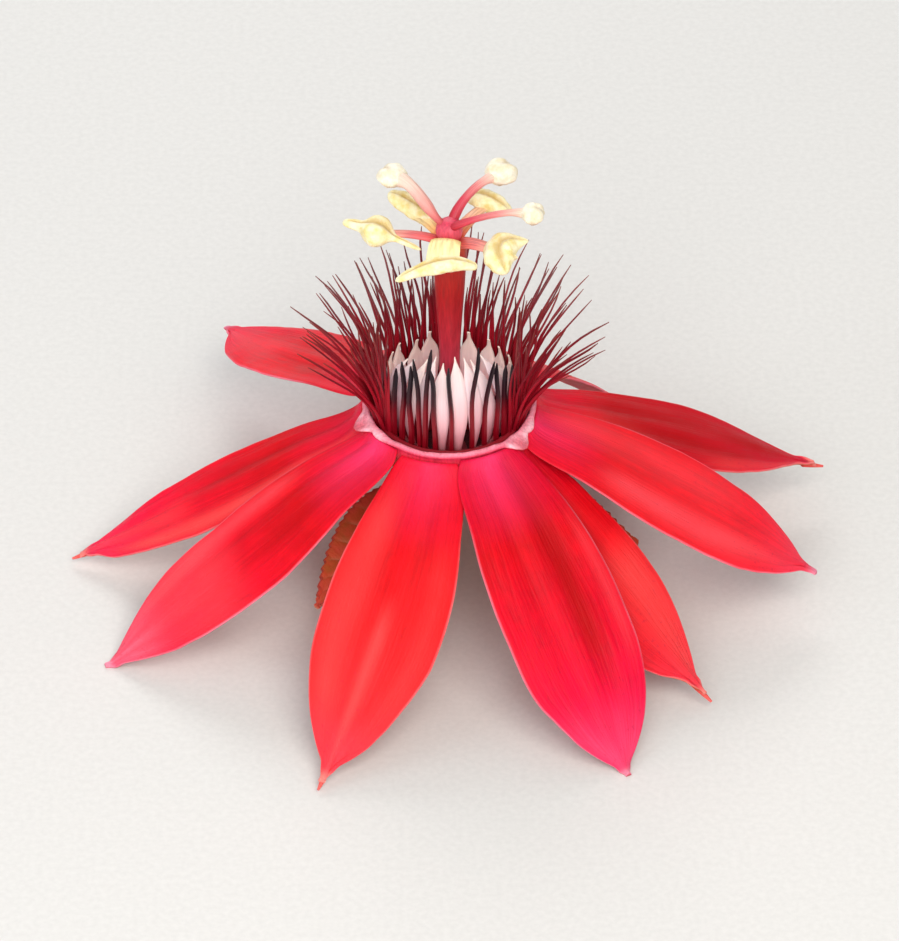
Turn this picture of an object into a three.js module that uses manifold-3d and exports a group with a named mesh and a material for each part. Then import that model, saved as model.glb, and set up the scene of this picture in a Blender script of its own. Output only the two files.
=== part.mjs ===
// A red passion flower, picked and lying face up: millimetres, +Z up.
// The origin is on the surface it rests on, straight below the middle of the flower.
// Azimuths are in degrees, seen from above, anticlockwise from +X. The front is -90.

import * as THREE from 'three';
import { mergeVertices } from 'three/addons/utils/BufferGeometryUtils.js';
import Module from 'manifold-3d';

const wasm = await Module();
wasm.setup();

// ---- Driving dimensions -------------------------------------------------------------

const RIM_HEIGHT = 36.5; // rim of the floral cup above the surface
const SEAT_GAP = 0.3; // clearance between neighbouring pieces
const ROUND_SIDES = 32; // facets of everything that is turned round the flower's axis

// Floral cup: [radius, height above the rim], down the outside and up the inside.
const CUP_RADIUS = 15.1;
const CUP_FLOOR = -10.2;
const CUP_BOTTOM = -13.6;
const CUP_INSIDE = [
  [6.9, CUP_FLOOR], [9.2, -9.2], [10.9, -7.6], [12.0, -6.0], [13.3, -3.0], [14.05, 0], [14.4, 0.35],
];
const CUP_OUTSIDE = [
  [14.7, 0.5], [15.0, 0.35], [CUP_RADIUS, 0], [CUP_RADIUS, -2.8], [14.4, -4.6], [13.1, -7.0],
  [11.3, -9.3], [8.8, -11.2], [5.6, -12.5], [3.7, -12.9], [3.4, CUP_BOTTOM],
];

// Sepals and petals. base and tip are azimuths, reach is how far the tip is from the axis,
// drop how far its underside hangs below the rim: the tip of a blade that drops the whole rim
// height is a foot and lies on the surface. roll raises the blade's anticlockwise edge, arch is
// 0 for a blade that falls straight and 1 for one that leaves the rim level, and bow bends it
// sideways in its middle.
const PETAL_TOP = -0.1; // the petals are the upper ring, the sepals lie one blade lower
const SEPAL_TOP = -1.7;
const SEPALS = [
  { base: -104, tip: -110, reach: 63.9, drop: 35.4, halfWidth: 11.3, roll: -2.5, arch: 0.1, bow: 1.5 },
  { base: -43, tip: -41, reach: 58.5, drop: 34.2, halfWidth: 8.8, roll: 11, arch: 0.08, bow: -1.6 },
  { base: 14, tip: 15.6, reach: 67.75, drop: 29.0, halfWidth: 8.8, roll: 2, arch: 0, bow: 0 },
  { base: 100, tip: 96, reach: 60.53, drop: RIM_HEIGHT, halfWidth: 10.4, roll: 5, arch: 0.15, bow: 0 },
  { base: 183, tip: 180, reach: 65.36, drop: 34.8, halfWidth: 8.5, roll: -6, arch: -0.16, bow: 0 },
];
const PETALS = [
  { base: -63, tip: -61.6, reach: 64.8, drop: RIM_HEIGHT, halfWidth: 11.5, roll: 1, arch: 0.22, bow: 0 },
  { base: -15, tip: -11.5, reach: 65.5, drop: 28.0, halfWidth: 10.8, roll: 1, arch: 0.24, bow: -1.2 },
  { base: 57, tip: 60, reach: 53.0, drop: 35.2, halfWidth: 10.4, roll: 2, arch: 0.25, bow: 0 },
  { base: 147, tip: 127, reach: 67.5, drop: 25.8, halfWidth: 9.8, roll: 0, arch: -0.05, bow: 0 },
  { base: 217, tip: 205, reach: 66.4, drop: RIM_HEIGHT, halfWidth: 9.2, roll: -5, arch: 0.14, bow: 0.8 },
];
const BLADE_MIDDLE = 1.15; // upright thickness of a tepal along its midrib
const BLADE_EDGE = 0.85;
const BLADE_BASE_SHARE = 0.46; // width at the rim as a share of the widest place
const BLADE_WIDEST = 0.5; // place of the widest point, as a share of the length
const BLADE_OPENING = 0.8; // powers of the curves that open the blade and close it again
const BLADE_CLOSING = 2.2;
const BLADE_CHANNEL = 0.03; // how far the edges stand above the midrib, per half width
const BLADE_CHANNEL_FROM = 0.3; // share of the length by which the channel is full
const BLADE_ROLL_FROM = 0.5; // share of the length by which the roll is full
const BLADE_RIPPLE = 0.35; // height of the waves along the edges
const BLADE_RIPPLE_ALONG = 11; // radians of wave from base to tip
const BLADE_RIPPLE_ACROSS = 2;
const BLADE_TIP_SHARE = 0.045;
const BASE_FIT = 0.22; // share of the length in which the base bends to the round cup
const BLADE_STATIONS = [0, 0.06, 0.14, 0.26, 0.4, 0.54, 0.66, 0.78, 0.88, 0.94, 0.97, 1];
const BLADE_ACROSS = [-1, -0.5, 0, 0.5, 1];
const FOOT_FROM = 0.97; // a tip that is a foot lies flat from here on
const FOOT_FLATTENS_FROM = 0.78;

// Pedicel, the short stalk left on the picked flower, and its three bracts.
const PEDICEL_TOP_RADIUS = 3.0;
const PEDICEL_RADIUS = 2.0;
const PEDICEL_END = -33.2;
const PEDICEL_BEND = 9;
const PEDICEL_FLARE = 0.12; // share of the stalk in which its thick top narrows
const PEDICEL_SHARES = [0, 0.08, 0.2, 0.4, 0.6, 0.8, 1];
const PEDICEL_SIDES = 12;
const BRACT_AZIMUTHS = [-133, -13, 107];
const BRACT_START = 2.45; // distance of the bract's base from the axis
const BRACT_REACH = 34;
const BRACT_HEIGHT = -17.0;
const BRACT_DROP = 9.5;
const BRACT_LIFT = 2.2; // how far the tip curls back up
const BRACT_HALF_WIDTH = 9.2;
const BRACT_BASE_HALF_WIDTH = 1.7;
const BRACT_TIP_HALF_WIDTH = 0.35;
const BRACT_WIDEST_TOWARDS_BASE = 0.72; // below 1 moves the widest place to the base
const BRACT_FULLNESS = 0.85; // below 1 makes the outline fuller
const BRACT_CUPPED = 0.28; // how far the edges stand above the middle, per half width
const BRACT_THICKNESS = 0.9;
const BRACT_TOOTH = 0.55;
const BRACT_STATIONS = 13;

// Outer corona: a collar lining the cup's wall that carries two rings of filaments.
const COLLAR_THICKNESS = 1.6;
const COLLAR_SIDES = 24;
const COLLAR_OUTSIDE = [[13.4, -0.7], [12.85, -3.0], [11.85, -5.4]];
const FILAMENT_SIDES = 3;
const FILAMENT_SHARES = [0, 0.15, 0.4, 0.7, 1];
const FILAMENT_ROOT_DEPTH = 1.2;
const SPREADING = { count: 48, radius: 12.9, rise: 17.0, lean: [4.5, 15.5], thickness: [0.52, 0.24] };
const ERECT = { count: 24, radius: 12.45, rise: 20.0, lean: [-1.6, 1.6], thickness: [0.55, 0.26] };
const FILAMENT_WAVE = 0.55;
const FILAMENT_WAVE_ALONG = 5; // radians of wave from root to tip
const FILAMENT_CURVE = 1.8; // power of the outward curve
const FILAMENT_SWING = 7; // degrees a tip may stray sideways
const FILAMENT_RISE_SPREAD = [0.88, 1.05];
const FILAMENT_SPACING_SPREAD = 0.16;

// Inner corona: a white barrel of strips that closes towards the column.
const BARREL_PROFILE = [
  [6.3, CUP_FLOOR + SEAT_GAP], [8.1, -6.2], [9.5, -3.0], [10.3, 0.6], [10.5, 4.0], [9.8, 7.4],
  [8.2, 10.3], [6.1, 12.6], [4.3, 14.3],
];
const BARREL_STRIPS = 20;
const BARREL_WALL = 0.7;
const BARREL_STRIP_WALL = 1.0;
const BARREL_FUSED_TO = 0.37; // share of the profile below which the strips are one tube
const TUBE_STEPS = 3;
const STRIP_START = 0.27;
const STRIP_STEPS = 8;
const STRIP_FILL = 0.78; // share of its pitch that a strip takes
const STRIP_TIP = 0.34;
const STRIP_TAPER = 6; // power: a strip keeps its width until near the tip
const STRIP_ENDS = [0.9, 1]; // where the tips end, as shares of the profile
const STRIP_SWING = 5; // degrees a tip may stray sideways

// Column that carries the stamens and the ovary: [radius, height above the rim].
const COLUMN_TOP = 36.2;
const COLUMN = [
  [2.5, CUP_FLOOR + SEAT_GAP], [2.2, -7.5], [1.75, 0], [1.7, 12], [2.2, 21], [2.75, 29],
  [2.85, 33], [2.8, COLUMN_TOP],
];
const COLUMN_SIDES = 16;

// Ovary: [radius, height above its own base].
const OVARY_BASE = COLUMN_TOP + SEAT_GAP;
const OVARY = [[1.8, 0], [2.25, 0.9], [2.4, 2.2], [2.15, 3.6], [1.5, 4.7], [0.8, 5.15]];

// Stamens: root is the azimuth on the column; x, y and z give the middle of the anther
// above the rim, yaw and pitch turn its long axis.
const STAMENS = [
  { root: -106, x: -2.1, y: -8.8, z: 37.4, yaw: 9, pitch: 4 },
  { root: -28, x: 9.1, y: -5.3, z: 37.4, yaw: -48, pitch: 8 },
  { root: 50, x: 6.6, y: 8.9, z: 37.6, yaw: 96, pitch: 6 },
  { root: 122, x: -6.3, y: 7.2, z: 37.6, yaw: -46, pitch: -9 },
  { root: 184, x: -12.6, y: 0.6, z: 37.4, yaw: 158, pitch: 4 },
];
const STAMEN_ROOT_HEIGHT = 35.1;
const STAMEN_WIDTH = [2.5, 1.3];
const STAMEN_THICKNESS = 0.8;
const STAMEN_STEPS = 6;
const ANTHER_LENGTH = 11.4;
const ANTHER_WIDTH = 3.7;
const ANTHER_HEIGHT = 2.5;
const ANTHER_GROOVE = 0.55;
const ANTHER_DROOP = 0.9;
const ANTHER_END_SHARE = 0.2;
const ANTHER_STEPS = 8;
const ANTHER_SIDES = 12;
const ANTHER_TOP_SIDE = 3; // the side that faces up and carries the groove

// Styles and stigmas: root is the azimuth on the ovary, the rest is the stigma's middle.
const STYLES = [
  { root: 62, x: 8.9, y: 8.3, z: 44.0 },
  { root: 182, x: -9.7, y: 7.3, z: 44.2 },
  { root: -58, x: 14.6, y: -1.8, z: 42.6 },
];
const STYLE_RADIUS = [0.75, 0.6];
const STYLE_ARCH = 3.2;
const STYLE_ROOT_SINK = 0.25; // how far below the ovary's crown a style starts
const STYLE_STEPS = 9;
const STYLE_SIDES = 8;
const STYLE_ROOT_RADIUS = 1.25;
const STYLE_ROOT_SLOPE = 35; // degrees from upright in which a style leaves the ovary
const STIGMA_RADIUS = 2.7;
const STIGMA_HEIGHT_SHARE = 0.8;

// ---- Materials ----------------------------------------------------------------------

const finish = (color, roughness) =>
  new THREE.MeshStandardMaterial({ color, roughness, metalness: 0, flatShading: true });

const MATERIALS = {
  petal: finish('#dc1226', 0.5),
  sepal: finish('#e2222a', 0.5),
  cup: finish('#e8576b', 0.55),
  maroon: finish('#5c0713', 0.45),
  white: finish('#fbe9ee', 0.5),
  column: finish('#b3121c', 0.4),
  ovary: finish('#c8404a', 0.5),
  anther: finish('#f3e08f', 0.6),
  filament: finish('#efd9a0', 0.5),
  style: finish('#cf4a55', 0.45),
  stigma: finish('#f6ecc8', 0.6),
  bract: finish('#a8622a', 0.6),
  stalk: finish('#7a8a34', 0.6),
};

// ---- Small tools --------------------------------------------------------------------

const radians = THREE.MathUtils.degToRad;
const mix = THREE.MathUtils.lerp;

// Point at a distance and azimuth (degrees) round the flower's axis.
function polar(radius, azimuth, height) {
  const angle = radians(azimuth);
  return new THREE.Vector3(radius * Math.cos(angle), radius * Math.sin(angle), height);
}

// Repeatable random numbers from 0 to 1.
function seededRandom(seed) {
  let state = seed;
  return () => {
    state = (state * 1664525 + 1013904223) % 4294967296;
    return state / 4294967296;
  };
}

// Signed volume, positive when the faces point out.
function volumeOf(geometry) {
  const position = geometry.attributes.position;
  const index = geometry.index;
  const [a, b, c] = [new THREE.Vector3(), new THREE.Vector3(), new THREE.Vector3()];
  let volume = 0;
  for (let i = 0; i < index.count; i += 3) {
    a.fromBufferAttribute(position, index.getX(i));
    b.fromBufferAttribute(position, index.getX(i + 1));
    c.fromBufferAttribute(position, index.getX(i + 2));
    volume += a.dot(b.cross(c)) / 6;
  }
  return volume;
}

// Shared corners, no empty triangles, faces pointing out.
function weld(source) {
  source.deleteAttribute('normal');
  source.deleteAttribute('uv');
  const geometry = mergeVertices(source, 1e-4);
  const corners = Array.from(geometry.index.array);
  const kept = [];
  for (let i = 0; i < corners.length; i += 3) {
    const [a, b, c] = corners.slice(i, i + 3);
    if (a !== b && b !== c && c !== a) kept.push(a, b, c);
  }
  geometry.setIndex(kept);
  if (volumeOf(geometry) < 0) geometry.setIndex(kept.reverse());
  return geometry;
}

function fromPoints(points, corners) {
  const geometry = new THREE.BufferGeometry().setFromPoints(points);
  geometry.setIndex(corners);
  return weld(geometry);
}

// A closed solid through rings of equally many points, with both ends closed.
function loft(rings) {
  const sides = rings[0].length;
  const corners = [];
  for (let ring = 0; ring + 1 < rings.length; ring += 1) {
    for (let side = 0; side < sides; side += 1) {
      const a = ring * sides + side;
      const b = ring * sides + ((side + 1) % sides);
      corners.push(a, b, b + sides, a, b + sides, a + sides);
    }
  }
  const last = (rings.length - 1) * sides;
  for (let side = 1; side + 1 < sides; side += 1) {
    corners.push(0, side + 1, side, last, last + side, last + side + 1);
  }
  return fromPoints(rings.flat(), corners);
}

// A closed blade between two grids of points, split alike on both faces.
function blade(upper, lower) {
  const stations = upper.length;
  const across = upper[0].length;
  const half = stations * across;
  const corners = [];
  const quad = (a, b, c, d) => corners.push(a, b, c, a, c, d);
  for (let i = 0; i + 1 < stations; i += 1) {
    for (let j = 0; j + 1 < across; j += 1) {
      const a = i * across + j;
      const c = a + across + 1;
      quad(a, a + 1, c, c - 1);
      corners.push(half + a, half + c, half + a + 1, half + a, half + c - 1, half + c);
    }
    const left = i * across;
    const right = left + across - 1;
    quad(left, left + across, left + across + half, left + half);
    quad(right, right + half, right + across + half, right + across);
  }
  const end = (stations - 1) * across;
  for (let j = 0; j + 1 < across; j += 1) {
    quad(j, j + half, j + 1 + half, j + 1);
    quad(end + j, end + j + 1, end + j + 1 + half, end + j + half);
  }
  return fromPoints([...upper.flat(), ...lower.flat()], corners);
}

// A solid turned round the flower's axis from [radius, height] pairs.
function turned(profile, sides) {
  const points = profile.map(([radius, height]) => new THREE.Vector2(radius, height));
  const geometry = new THREE.LatheGeometry(points, sides);
  geometry.rotateX(Math.PI / 2);
  return weld(geometry);
}

const ontoAxis = (profile) => [[0, profile[0][1]], ...profile, [0, profile.at(-1)[1]]];

function solidOf(geometry) {
  return new wasm.Manifold(new wasm.Mesh({
    numProp: 3,
    vertProperties: new Float32Array(geometry.attributes.position.array),
    triVerts: new Uint32Array(geometry.index.array),
  }));
}

function fused(geometries) {
  const whole = geometries.map(solidOf).reduce((sum, next) => sum.add(next));
  const mesh = whole.getMesh();
  const geometry = new THREE.BufferGeometry();
  geometry.setAttribute('position', new THREE.BufferAttribute(mesh.vertProperties, 3));
  geometry.setIndex(Array.from(mesh.triVerts));
  return weld(geometry);
}

// A round rod through the points, with its own radius at each.
function rod(points, radii, sides) {
  const rings = points.map((point, i) => {
    const before = points[Math.max(i - 1, 0)];
    const after = points[Math.min(i + 1, points.length - 1)];
    const along = after.clone().sub(before).normalize();
    const level = new THREE.Vector3(-along.y, along.x, 0);
    if (level.length() < 1e-6) level.set(1, 0, 0);
    level.normalize();
    const upright = along.clone().cross(level);
    return Array.from({ length: sides }, (_, side) => {
      const turn = (2 * Math.PI * side) / sides;
      return point.clone()
        .addScaledVector(level, radii[i] * Math.cos(turn))
        .addScaledVector(upright, radii[i] * Math.sin(turn));
    });
  });
  return loft(rings);
}

// ---- Sepals and petals --------------------------------------------------------------

// Half width along the blade, as a share of the widest place.
function outline(along) {
  if (along < BLADE_WIDEST) {
    const opening = Math.sin((Math.PI / 2) * (along / BLADE_WIDEST)) ** BLADE_OPENING;
    return mix(BLADE_BASE_SHARE, 1, opening);
  }
  const closing = ((along - BLADE_WIDEST) / (1 - BLADE_WIDEST)) ** BLADE_CLOSING;
  return mix(1, BLADE_TIP_SHARE, closing);
}

function tepal(shape, top) {
  const start = CUP_RADIUS + SEAT_GAP;
  const isFoot = shape.drop === RIM_HEIGHT;
  const from = polar(start, shape.base, 0);
  const to = polar(shape.reach, shape.tip, 0);
  const along = to.clone().sub(from);
  const sideways = new THREE.Vector3(-along.y, along.x, 0).normalize();
  const upper = [];
  const lower = [];
  for (const share of BLADE_STATIONS) {
    const halfWidth = shape.halfWidth * outline(share);
    const fallen = isFoot ? Math.min(share / FOOT_FROM, 1) : share;
    const fall = (1 - shape.arch) * fallen + shape.arch * fallen * fallen;
    const flat = isFoot ? THREE.MathUtils.smoothstep(share, FOOT_FLATTENS_FROM, FOOT_FROM) : 0;
    const fit = Math.max(0, 1 - share / BASE_FIT) ** 2;
    const upperRow = [];
    const lowerRow = [];
    for (const across of BLADE_ACROSS) {
      const aside = across * halfWidth + shape.bow * Math.sin(Math.PI * share);
      const straight = from.clone().addScaledVector(along, share).addScaledVector(sideways, aside);
      const round = polar(start, shape.base + THREE.MathUtils.radToDeg(aside / start), 0);
      const point = straight.lerp(round, fit);
      const thickness = mix(BLADE_MIDDLE, BLADE_EDGE, Math.abs(across));
      const channel = BLADE_CHANNEL * halfWidth * across * across
        * Math.min(share / BLADE_CHANNEL_FROM, 1);
      const wave = Math.sin(share * BLADE_RIPPLE_ALONG + across * BLADE_RIPPLE_ACROSS);
      const ripple = BLADE_RIPPLE * wave * Math.abs(across) * share;
      const tilt = aside * Math.tan(radians(shape.roll)) * Math.min(share / BLADE_ROLL_FROM, 1);
      const relief = (channel + ripple + tilt) * (1 - flat);
      const low = mix(top - BLADE_MIDDLE, -shape.drop, fall) + relief;
      lowerRow.push(new THREE.Vector3(point.x, point.y, low));
      upperRow.push(new THREE.Vector3(point.x, point.y, low + thickness));
    }
    upper.push(upperRow);
    lower.push(lowerRow);
  }
  return blade(upper, lower);
}

// ---- Cup, stalk and bracts ----------------------------------------------------------

function floralCup() {
  const profile = [[0, CUP_FLOOR], ...CUP_INSIDE, ...CUP_OUTSIDE, [0, CUP_BOTTOM]];
  return turned(profile, ROUND_SIDES);
}

function pedicel() {
  const top = CUP_BOTTOM - SEAT_GAP;
  const points = PEDICEL_SHARES.map((share) => (
    new THREE.Vector3(0, PEDICEL_BEND * share ** 3, mix(top, PEDICEL_END, share))
  ));
  const radii = PEDICEL_SHARES.map((share) => (
    mix(PEDICEL_TOP_RADIUS, PEDICEL_RADIUS, Math.min(share / PEDICEL_FLARE, 1))
  ));
  return rod(points, radii, PEDICEL_SIDES);
}

function bract(azimuth) {
  const upper = [];
  const lower = [];
  const outward = polar(1, azimuth, 0);
  const sideways = polar(1, azimuth + 90, 0);
  for (let i = 0; i < BRACT_STATIONS; i += 1) {
    const share = i / (BRACT_STATIONS - 1);
    const swell = Math.sin(Math.PI * share ** BRACT_WIDEST_TOWARDS_BASE) ** BRACT_FULLNESS;
    const toothed = i > 2 && i < BRACT_STATIONS - 2 ? BRACT_TOOTH * (i % 2 ? 1 : -1) : 0;
    const least = mix(BRACT_BASE_HALF_WIDTH, BRACT_TIP_HALF_WIDTH, share);
    const halfWidth = Math.max(least, BRACT_HALF_WIDTH * swell + toothed);
    const middle = BRACT_HEIGHT - BRACT_DROP * share + BRACT_LIFT * share * share;
    const rows = BLADE_ACROSS.map((across) => {
      const cupped = BRACT_CUPPED * halfWidth * across * across;
      return outward.clone().multiplyScalar(mix(BRACT_START, BRACT_REACH, share))
        .addScaledVector(sideways, across * halfWidth)
        .setZ(middle + cupped);
    });
    upper.push(rows);
    lower.push(rows.map((point) => point.clone().setZ(point.z - BRACT_THICKNESS)));
  }
  return blade(upper, lower);
}

// ---- Coronas ------------------------------------------------------------------------

// One filament: it rises from the collar, leans out and waves a little.
function coronaFilament(ring, azimuth, random) {
  const lean = mix(ring.lean[0], ring.lean[1], random());
  const rise = ring.rise * mix(FILAMENT_RISE_SPREAD[0], FILAMENT_RISE_SPREAD[1], random());
  const phase = random() * 2 * Math.PI;
  const swing = mix(-FILAMENT_SWING, FILAMENT_SWING, random());
  const root = COLLAR_OUTSIDE[0][1] - FILAMENT_ROOT_DEPTH;
  const points = [];
  const radii = [];
  for (const share of FILAMENT_SHARES) {
    const wave = FILAMENT_WAVE * share * Math.sin(phase + share * FILAMENT_WAVE_ALONG);
    const radius = ring.radius + lean * share ** FILAMENT_CURVE + wave * share;
    const height = root + (rise - root) * share;
    points.push(polar(radius, azimuth + swing * share * share, height));
    radii.push(mix(ring.thickness[0], ring.thickness[1], share));
  }
  return rod(points, radii, FILAMENT_SIDES);
}

function outerCorona() {
  const random = seededRandom(11);
  const inside = COLLAR_OUTSIDE.map(([radius, height]) => [radius - COLLAR_THICKNESS, height]);
  const collar = [...COLLAR_OUTSIDE, ...inside.reverse(), COLLAR_OUTSIDE[0]];
  const pieces = [turned(collar, COLLAR_SIDES)];
  for (const ring of [SPREADING, ERECT]) {
    for (let i = 0; i < ring.count; i += 1) {
      const stray = mix(-FILAMENT_SPACING_SPREAD, FILAMENT_SPACING_SPREAD, random());
      const azimuth = (360 / ring.count) * (i + 0.5 + stray);
      pieces.push(coronaFilament(ring, azimuth, random));
    }
  }
  return fused(pieces);
}

function innerCorona() {
  const random = seededRandom(5);
  const curve = new THREE.SplineCurve(BARREL_PROFILE.map(([r, z]) => new THREE.Vector2(r, z)));
  const tube = [];
  for (let i = 0; i <= TUBE_STEPS; i += 1) {
    tube.push(curve.getPoint((BARREL_FUSED_TO * i) / TUBE_STEPS));
  }
  const outside = tube.map((p) => [p.x + BARREL_WALL / 2, p.y]);
  const inside = tube.map((p) => [p.x - BARREL_WALL / 2, p.y]);
  const pieces = [turned([...outside, ...inside.reverse(), outside[0]], BARREL_STRIPS)];
  for (let i = 0; i < BARREL_STRIPS; i += 1) {
    const azimuth = (360 / BARREL_STRIPS) * (i + 0.5);
    const end = mix(STRIP_ENDS[0], STRIP_ENDS[1], random());
    pieces.push(barrelStrip(curve, azimuth, end, mix(-STRIP_SWING, STRIP_SWING, random())));
  }
  return fused(pieces);
}

// One white strip, which follows the barrel's profile up to its pointed tip.
function barrelStrip(curve, azimuth, tipPlace, swing) {
  const outer = [];
  const inner = [];
  for (let i = 0; i <= STRIP_STEPS; i += 1) {
    const share = i / STRIP_STEPS;
    const place = curve.getPoint(mix(STRIP_START, tipPlace, share));
    const pitch = (2 * Math.PI * place.x) / BARREL_STRIPS;
    const taper = 1 - share ** STRIP_TAPER;
    const halfWidth = mix(STRIP_TIP / 2, (STRIP_FILL * pitch) / 2, taper);
    const turn = azimuth + swing * share * share;
    const sideways = polar(1, turn + 90, 0);
    const row = (radius) => [-1, 1].map((side) => (
      polar(radius, turn, place.y).addScaledVector(sideways, side * halfWidth)
    ));
    outer.push(row(place.x + BARREL_STRIP_WALL / 2));
    inner.push(row(place.x - BARREL_STRIP_WALL / 2));
  }
  return blade(outer, inner);
}

// ---- Column, stamens and styles -----------------------------------------------------

const column = () => turned(ontoAxis(COLUMN), COLUMN_SIDES);

function ovary() {
  return turned(ontoAxis(OVARY.map(([radius, height]) => [radius, OVARY_BASE + height])), 12);
}

// Flat filament from the column's top to the underside of its anther.
function stamenFilament(stamen) {
  const root = polar(COLUMN.at(-1)[0] + SEAT_GAP, stamen.root, STAMEN_ROOT_HEIGHT);
  const under = stamen.z - ANTHER_HEIGHT / 2 - SEAT_GAP;
  const end = new THREE.Vector3(stamen.x, stamen.y, under);
  const upper = [];
  const lower = [];
  for (let i = 0; i <= STAMEN_STEPS; i += 1) {
    const share = i / STAMEN_STEPS;
    const point = root.clone().lerp(end, share);
    const acrossRoot = polar(1, stamen.root + 90, 0);
    const acrossEnd = new THREE.Vector3(-(end.y - root.y), end.x - root.x, 0).normalize();
    const aim = acrossRoot.lerp(acrossEnd, share).normalize();
    const halfWidth = mix(STAMEN_WIDTH[0], STAMEN_WIDTH[1], share) / 2;
    const row = [-1, 1].map((side) => point.clone().addScaledVector(aim, side * halfWidth));
    upper.push(row);
    lower.push(row.map((p) => p.clone().setZ(p.z - STAMEN_THICKNESS)));
  }
  return blade(upper, lower);
}

// Two-lobed anther lying across its filament, with drooping tapered ends.
function anther(stamen) {
  const rings = [];
  for (let i = 0; i <= ANTHER_STEPS; i += 1) {
    const place = (2 * i) / ANTHER_STEPS - 1;
    const swell = Math.max(ANTHER_END_SHARE, (1 - Math.abs(place) ** 3) ** 0.6);
    const ring = [];
    for (let side = 0; side < ANTHER_SIDES; side += 1) {
      const turn = (2 * Math.PI * side) / ANTHER_SIDES;
      const groove = side === ANTHER_TOP_SIDE ? ANTHER_GROOVE : 0;
      ring.push(new THREE.Vector3(
        (place * ANTHER_LENGTH) / 2,
        (ANTHER_WIDTH / 2) * swell * Math.cos(turn),
        swell * ((ANTHER_HEIGHT / 2) * Math.sin(turn) - groove) - ANTHER_DROOP * place * place,
      ));
    }
    rings.push(ring);
  }
  const geometry = loft(rings);
  geometry.rotateY(radians(stamen.pitch));
  geometry.rotateZ(radians(stamen.yaw));
  geometry.translate(stamen.x, stamen.y, stamen.z);
  return geometry;
}

// Style: it leaves the ovary squarely, arches over and ends at its stigma.
function style(shape) {
  const slope = radians(STYLE_ROOT_SLOPE);
  const rootHeight = OVARY_BASE + OVARY.at(-1)[1] - STYLE_ROOT_SINK;
  const normal = polar(Math.sin(slope), shape.root, Math.cos(slope));
  const root = polar(STYLE_ROOT_RADIUS, shape.root, rootHeight).addScaledVector(normal, SEAT_GAP);
  const stigmaAt = new THREE.Vector3(shape.x, shape.y, shape.z);
  const outward = new THREE.Vector3(shape.x, shape.y, 0).normalize();
  const end = stigmaAt.clone().addScaledVector(outward, -(STIGMA_RADIUS + SEAT_GAP));
  const curve = new THREE.CubicBezierCurve3(
    root,
    root.clone().addScaledVector(normal, STYLE_ARCH),
    end.clone().addScaledVector(outward, -3).setZ(Math.max(end.z, root.z) + 1),
    end,
  );
  const points = curve.getPoints(STYLE_STEPS);
  const radii = points.map((_, i) => mix(STYLE_RADIUS[0], STYLE_RADIUS[1], i / STYLE_STEPS));
  return rod(points, radii, STYLE_SIDES);
}

function stigma(shape) {
  const geometry = weld(new THREE.SphereGeometry(STIGMA_RADIUS, 12, 8));
  geometry.rotateX(Math.PI / 2);
  geometry.scale(1, 1, STIGMA_HEIGHT_SHARE);
  geometry.translate(shape.x, shape.y, shape.z);
  return geometry;
}

// ---- The whole flower ---------------------------------------------------------------

const flower = new THREE.Group();
flower.position.z = RIM_HEIGHT;

function place(name, geometry, material) {
  const mesh = new THREE.Mesh(geometry, material.clone());
  mesh.name = name;
  flower.add(mesh);
}

place('pedicel', pedicel(), MATERIALS.stalk);
BRACT_AZIMUTHS.forEach((azimuth, i) => place(`bract_${i + 1}`, bract(azimuth), MATERIALS.bract));
place('floral_cup', floralCup(), MATERIALS.cup);
SEPALS.forEach((shape, i) => place(`sepal_${i + 1}`, tepal(shape, SEPAL_TOP), MATERIALS.sepal));
PETALS.forEach((shape, i) => place(`petal_${i + 1}`, tepal(shape, PETAL_TOP), MATERIALS.petal));
place('outer_corona', outerCorona(), MATERIALS.maroon);
place('inner_corona', innerCorona(), MATERIALS.white);
place('column', column(), MATERIALS.column);
place('ovary', ovary(), MATERIALS.ovary);
STAMENS.forEach((stamen, i) => {
  place(`stamen_filament_${i + 1}`, stamenFilament(stamen), MATERIALS.filament);
  place(`anther_${i + 1}`, anther(stamen), MATERIALS.anther);
});
STYLES.forEach((shape, i) => {
  place(`style_${i + 1}`, style(shape), MATERIALS.style);
  place(`stigma_${i + 1}`, stigma(shape), MATERIALS.stigma);
});

export default flower;
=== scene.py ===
"""Dresses the frame of a red passion flower, picked and lying face up.

Inside this file shapes are in millimetres from the rim of the floral cup, with the flower's
axis on Z; to_frame turns them into metres on the surface the flower rests on. Azimuths are
in degrees, anticlockwise from +X seen from above, and the front is -90.
"""

import math
import random

import bpy
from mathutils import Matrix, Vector, noise


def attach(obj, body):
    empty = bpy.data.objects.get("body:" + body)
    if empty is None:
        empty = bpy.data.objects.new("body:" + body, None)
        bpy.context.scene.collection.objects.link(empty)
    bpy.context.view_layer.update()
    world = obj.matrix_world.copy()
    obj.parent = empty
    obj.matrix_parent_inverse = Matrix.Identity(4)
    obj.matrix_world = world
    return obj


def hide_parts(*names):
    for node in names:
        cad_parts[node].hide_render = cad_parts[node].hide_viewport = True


bl_info = {
    "name": "Passion Flower",
    "version": (1, 0, 0),
    "blender": (4, 5, 0),
    "location": "View3D > Sidebar > Flower",
    "description": "Petals, coronas, stamens and styles of a red passion flower",
    "category": "Object",
}

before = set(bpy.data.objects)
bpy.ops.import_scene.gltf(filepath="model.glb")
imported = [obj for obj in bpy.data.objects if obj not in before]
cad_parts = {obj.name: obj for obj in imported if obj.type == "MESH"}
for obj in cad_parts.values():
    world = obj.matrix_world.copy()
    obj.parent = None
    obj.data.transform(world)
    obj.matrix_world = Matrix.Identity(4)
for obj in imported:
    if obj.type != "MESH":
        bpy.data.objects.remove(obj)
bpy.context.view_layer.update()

MM = 0.001
UP = Vector((0, 0, 1))

# ---- Sizes, in millimetres ------------------------------------------------------------

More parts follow.
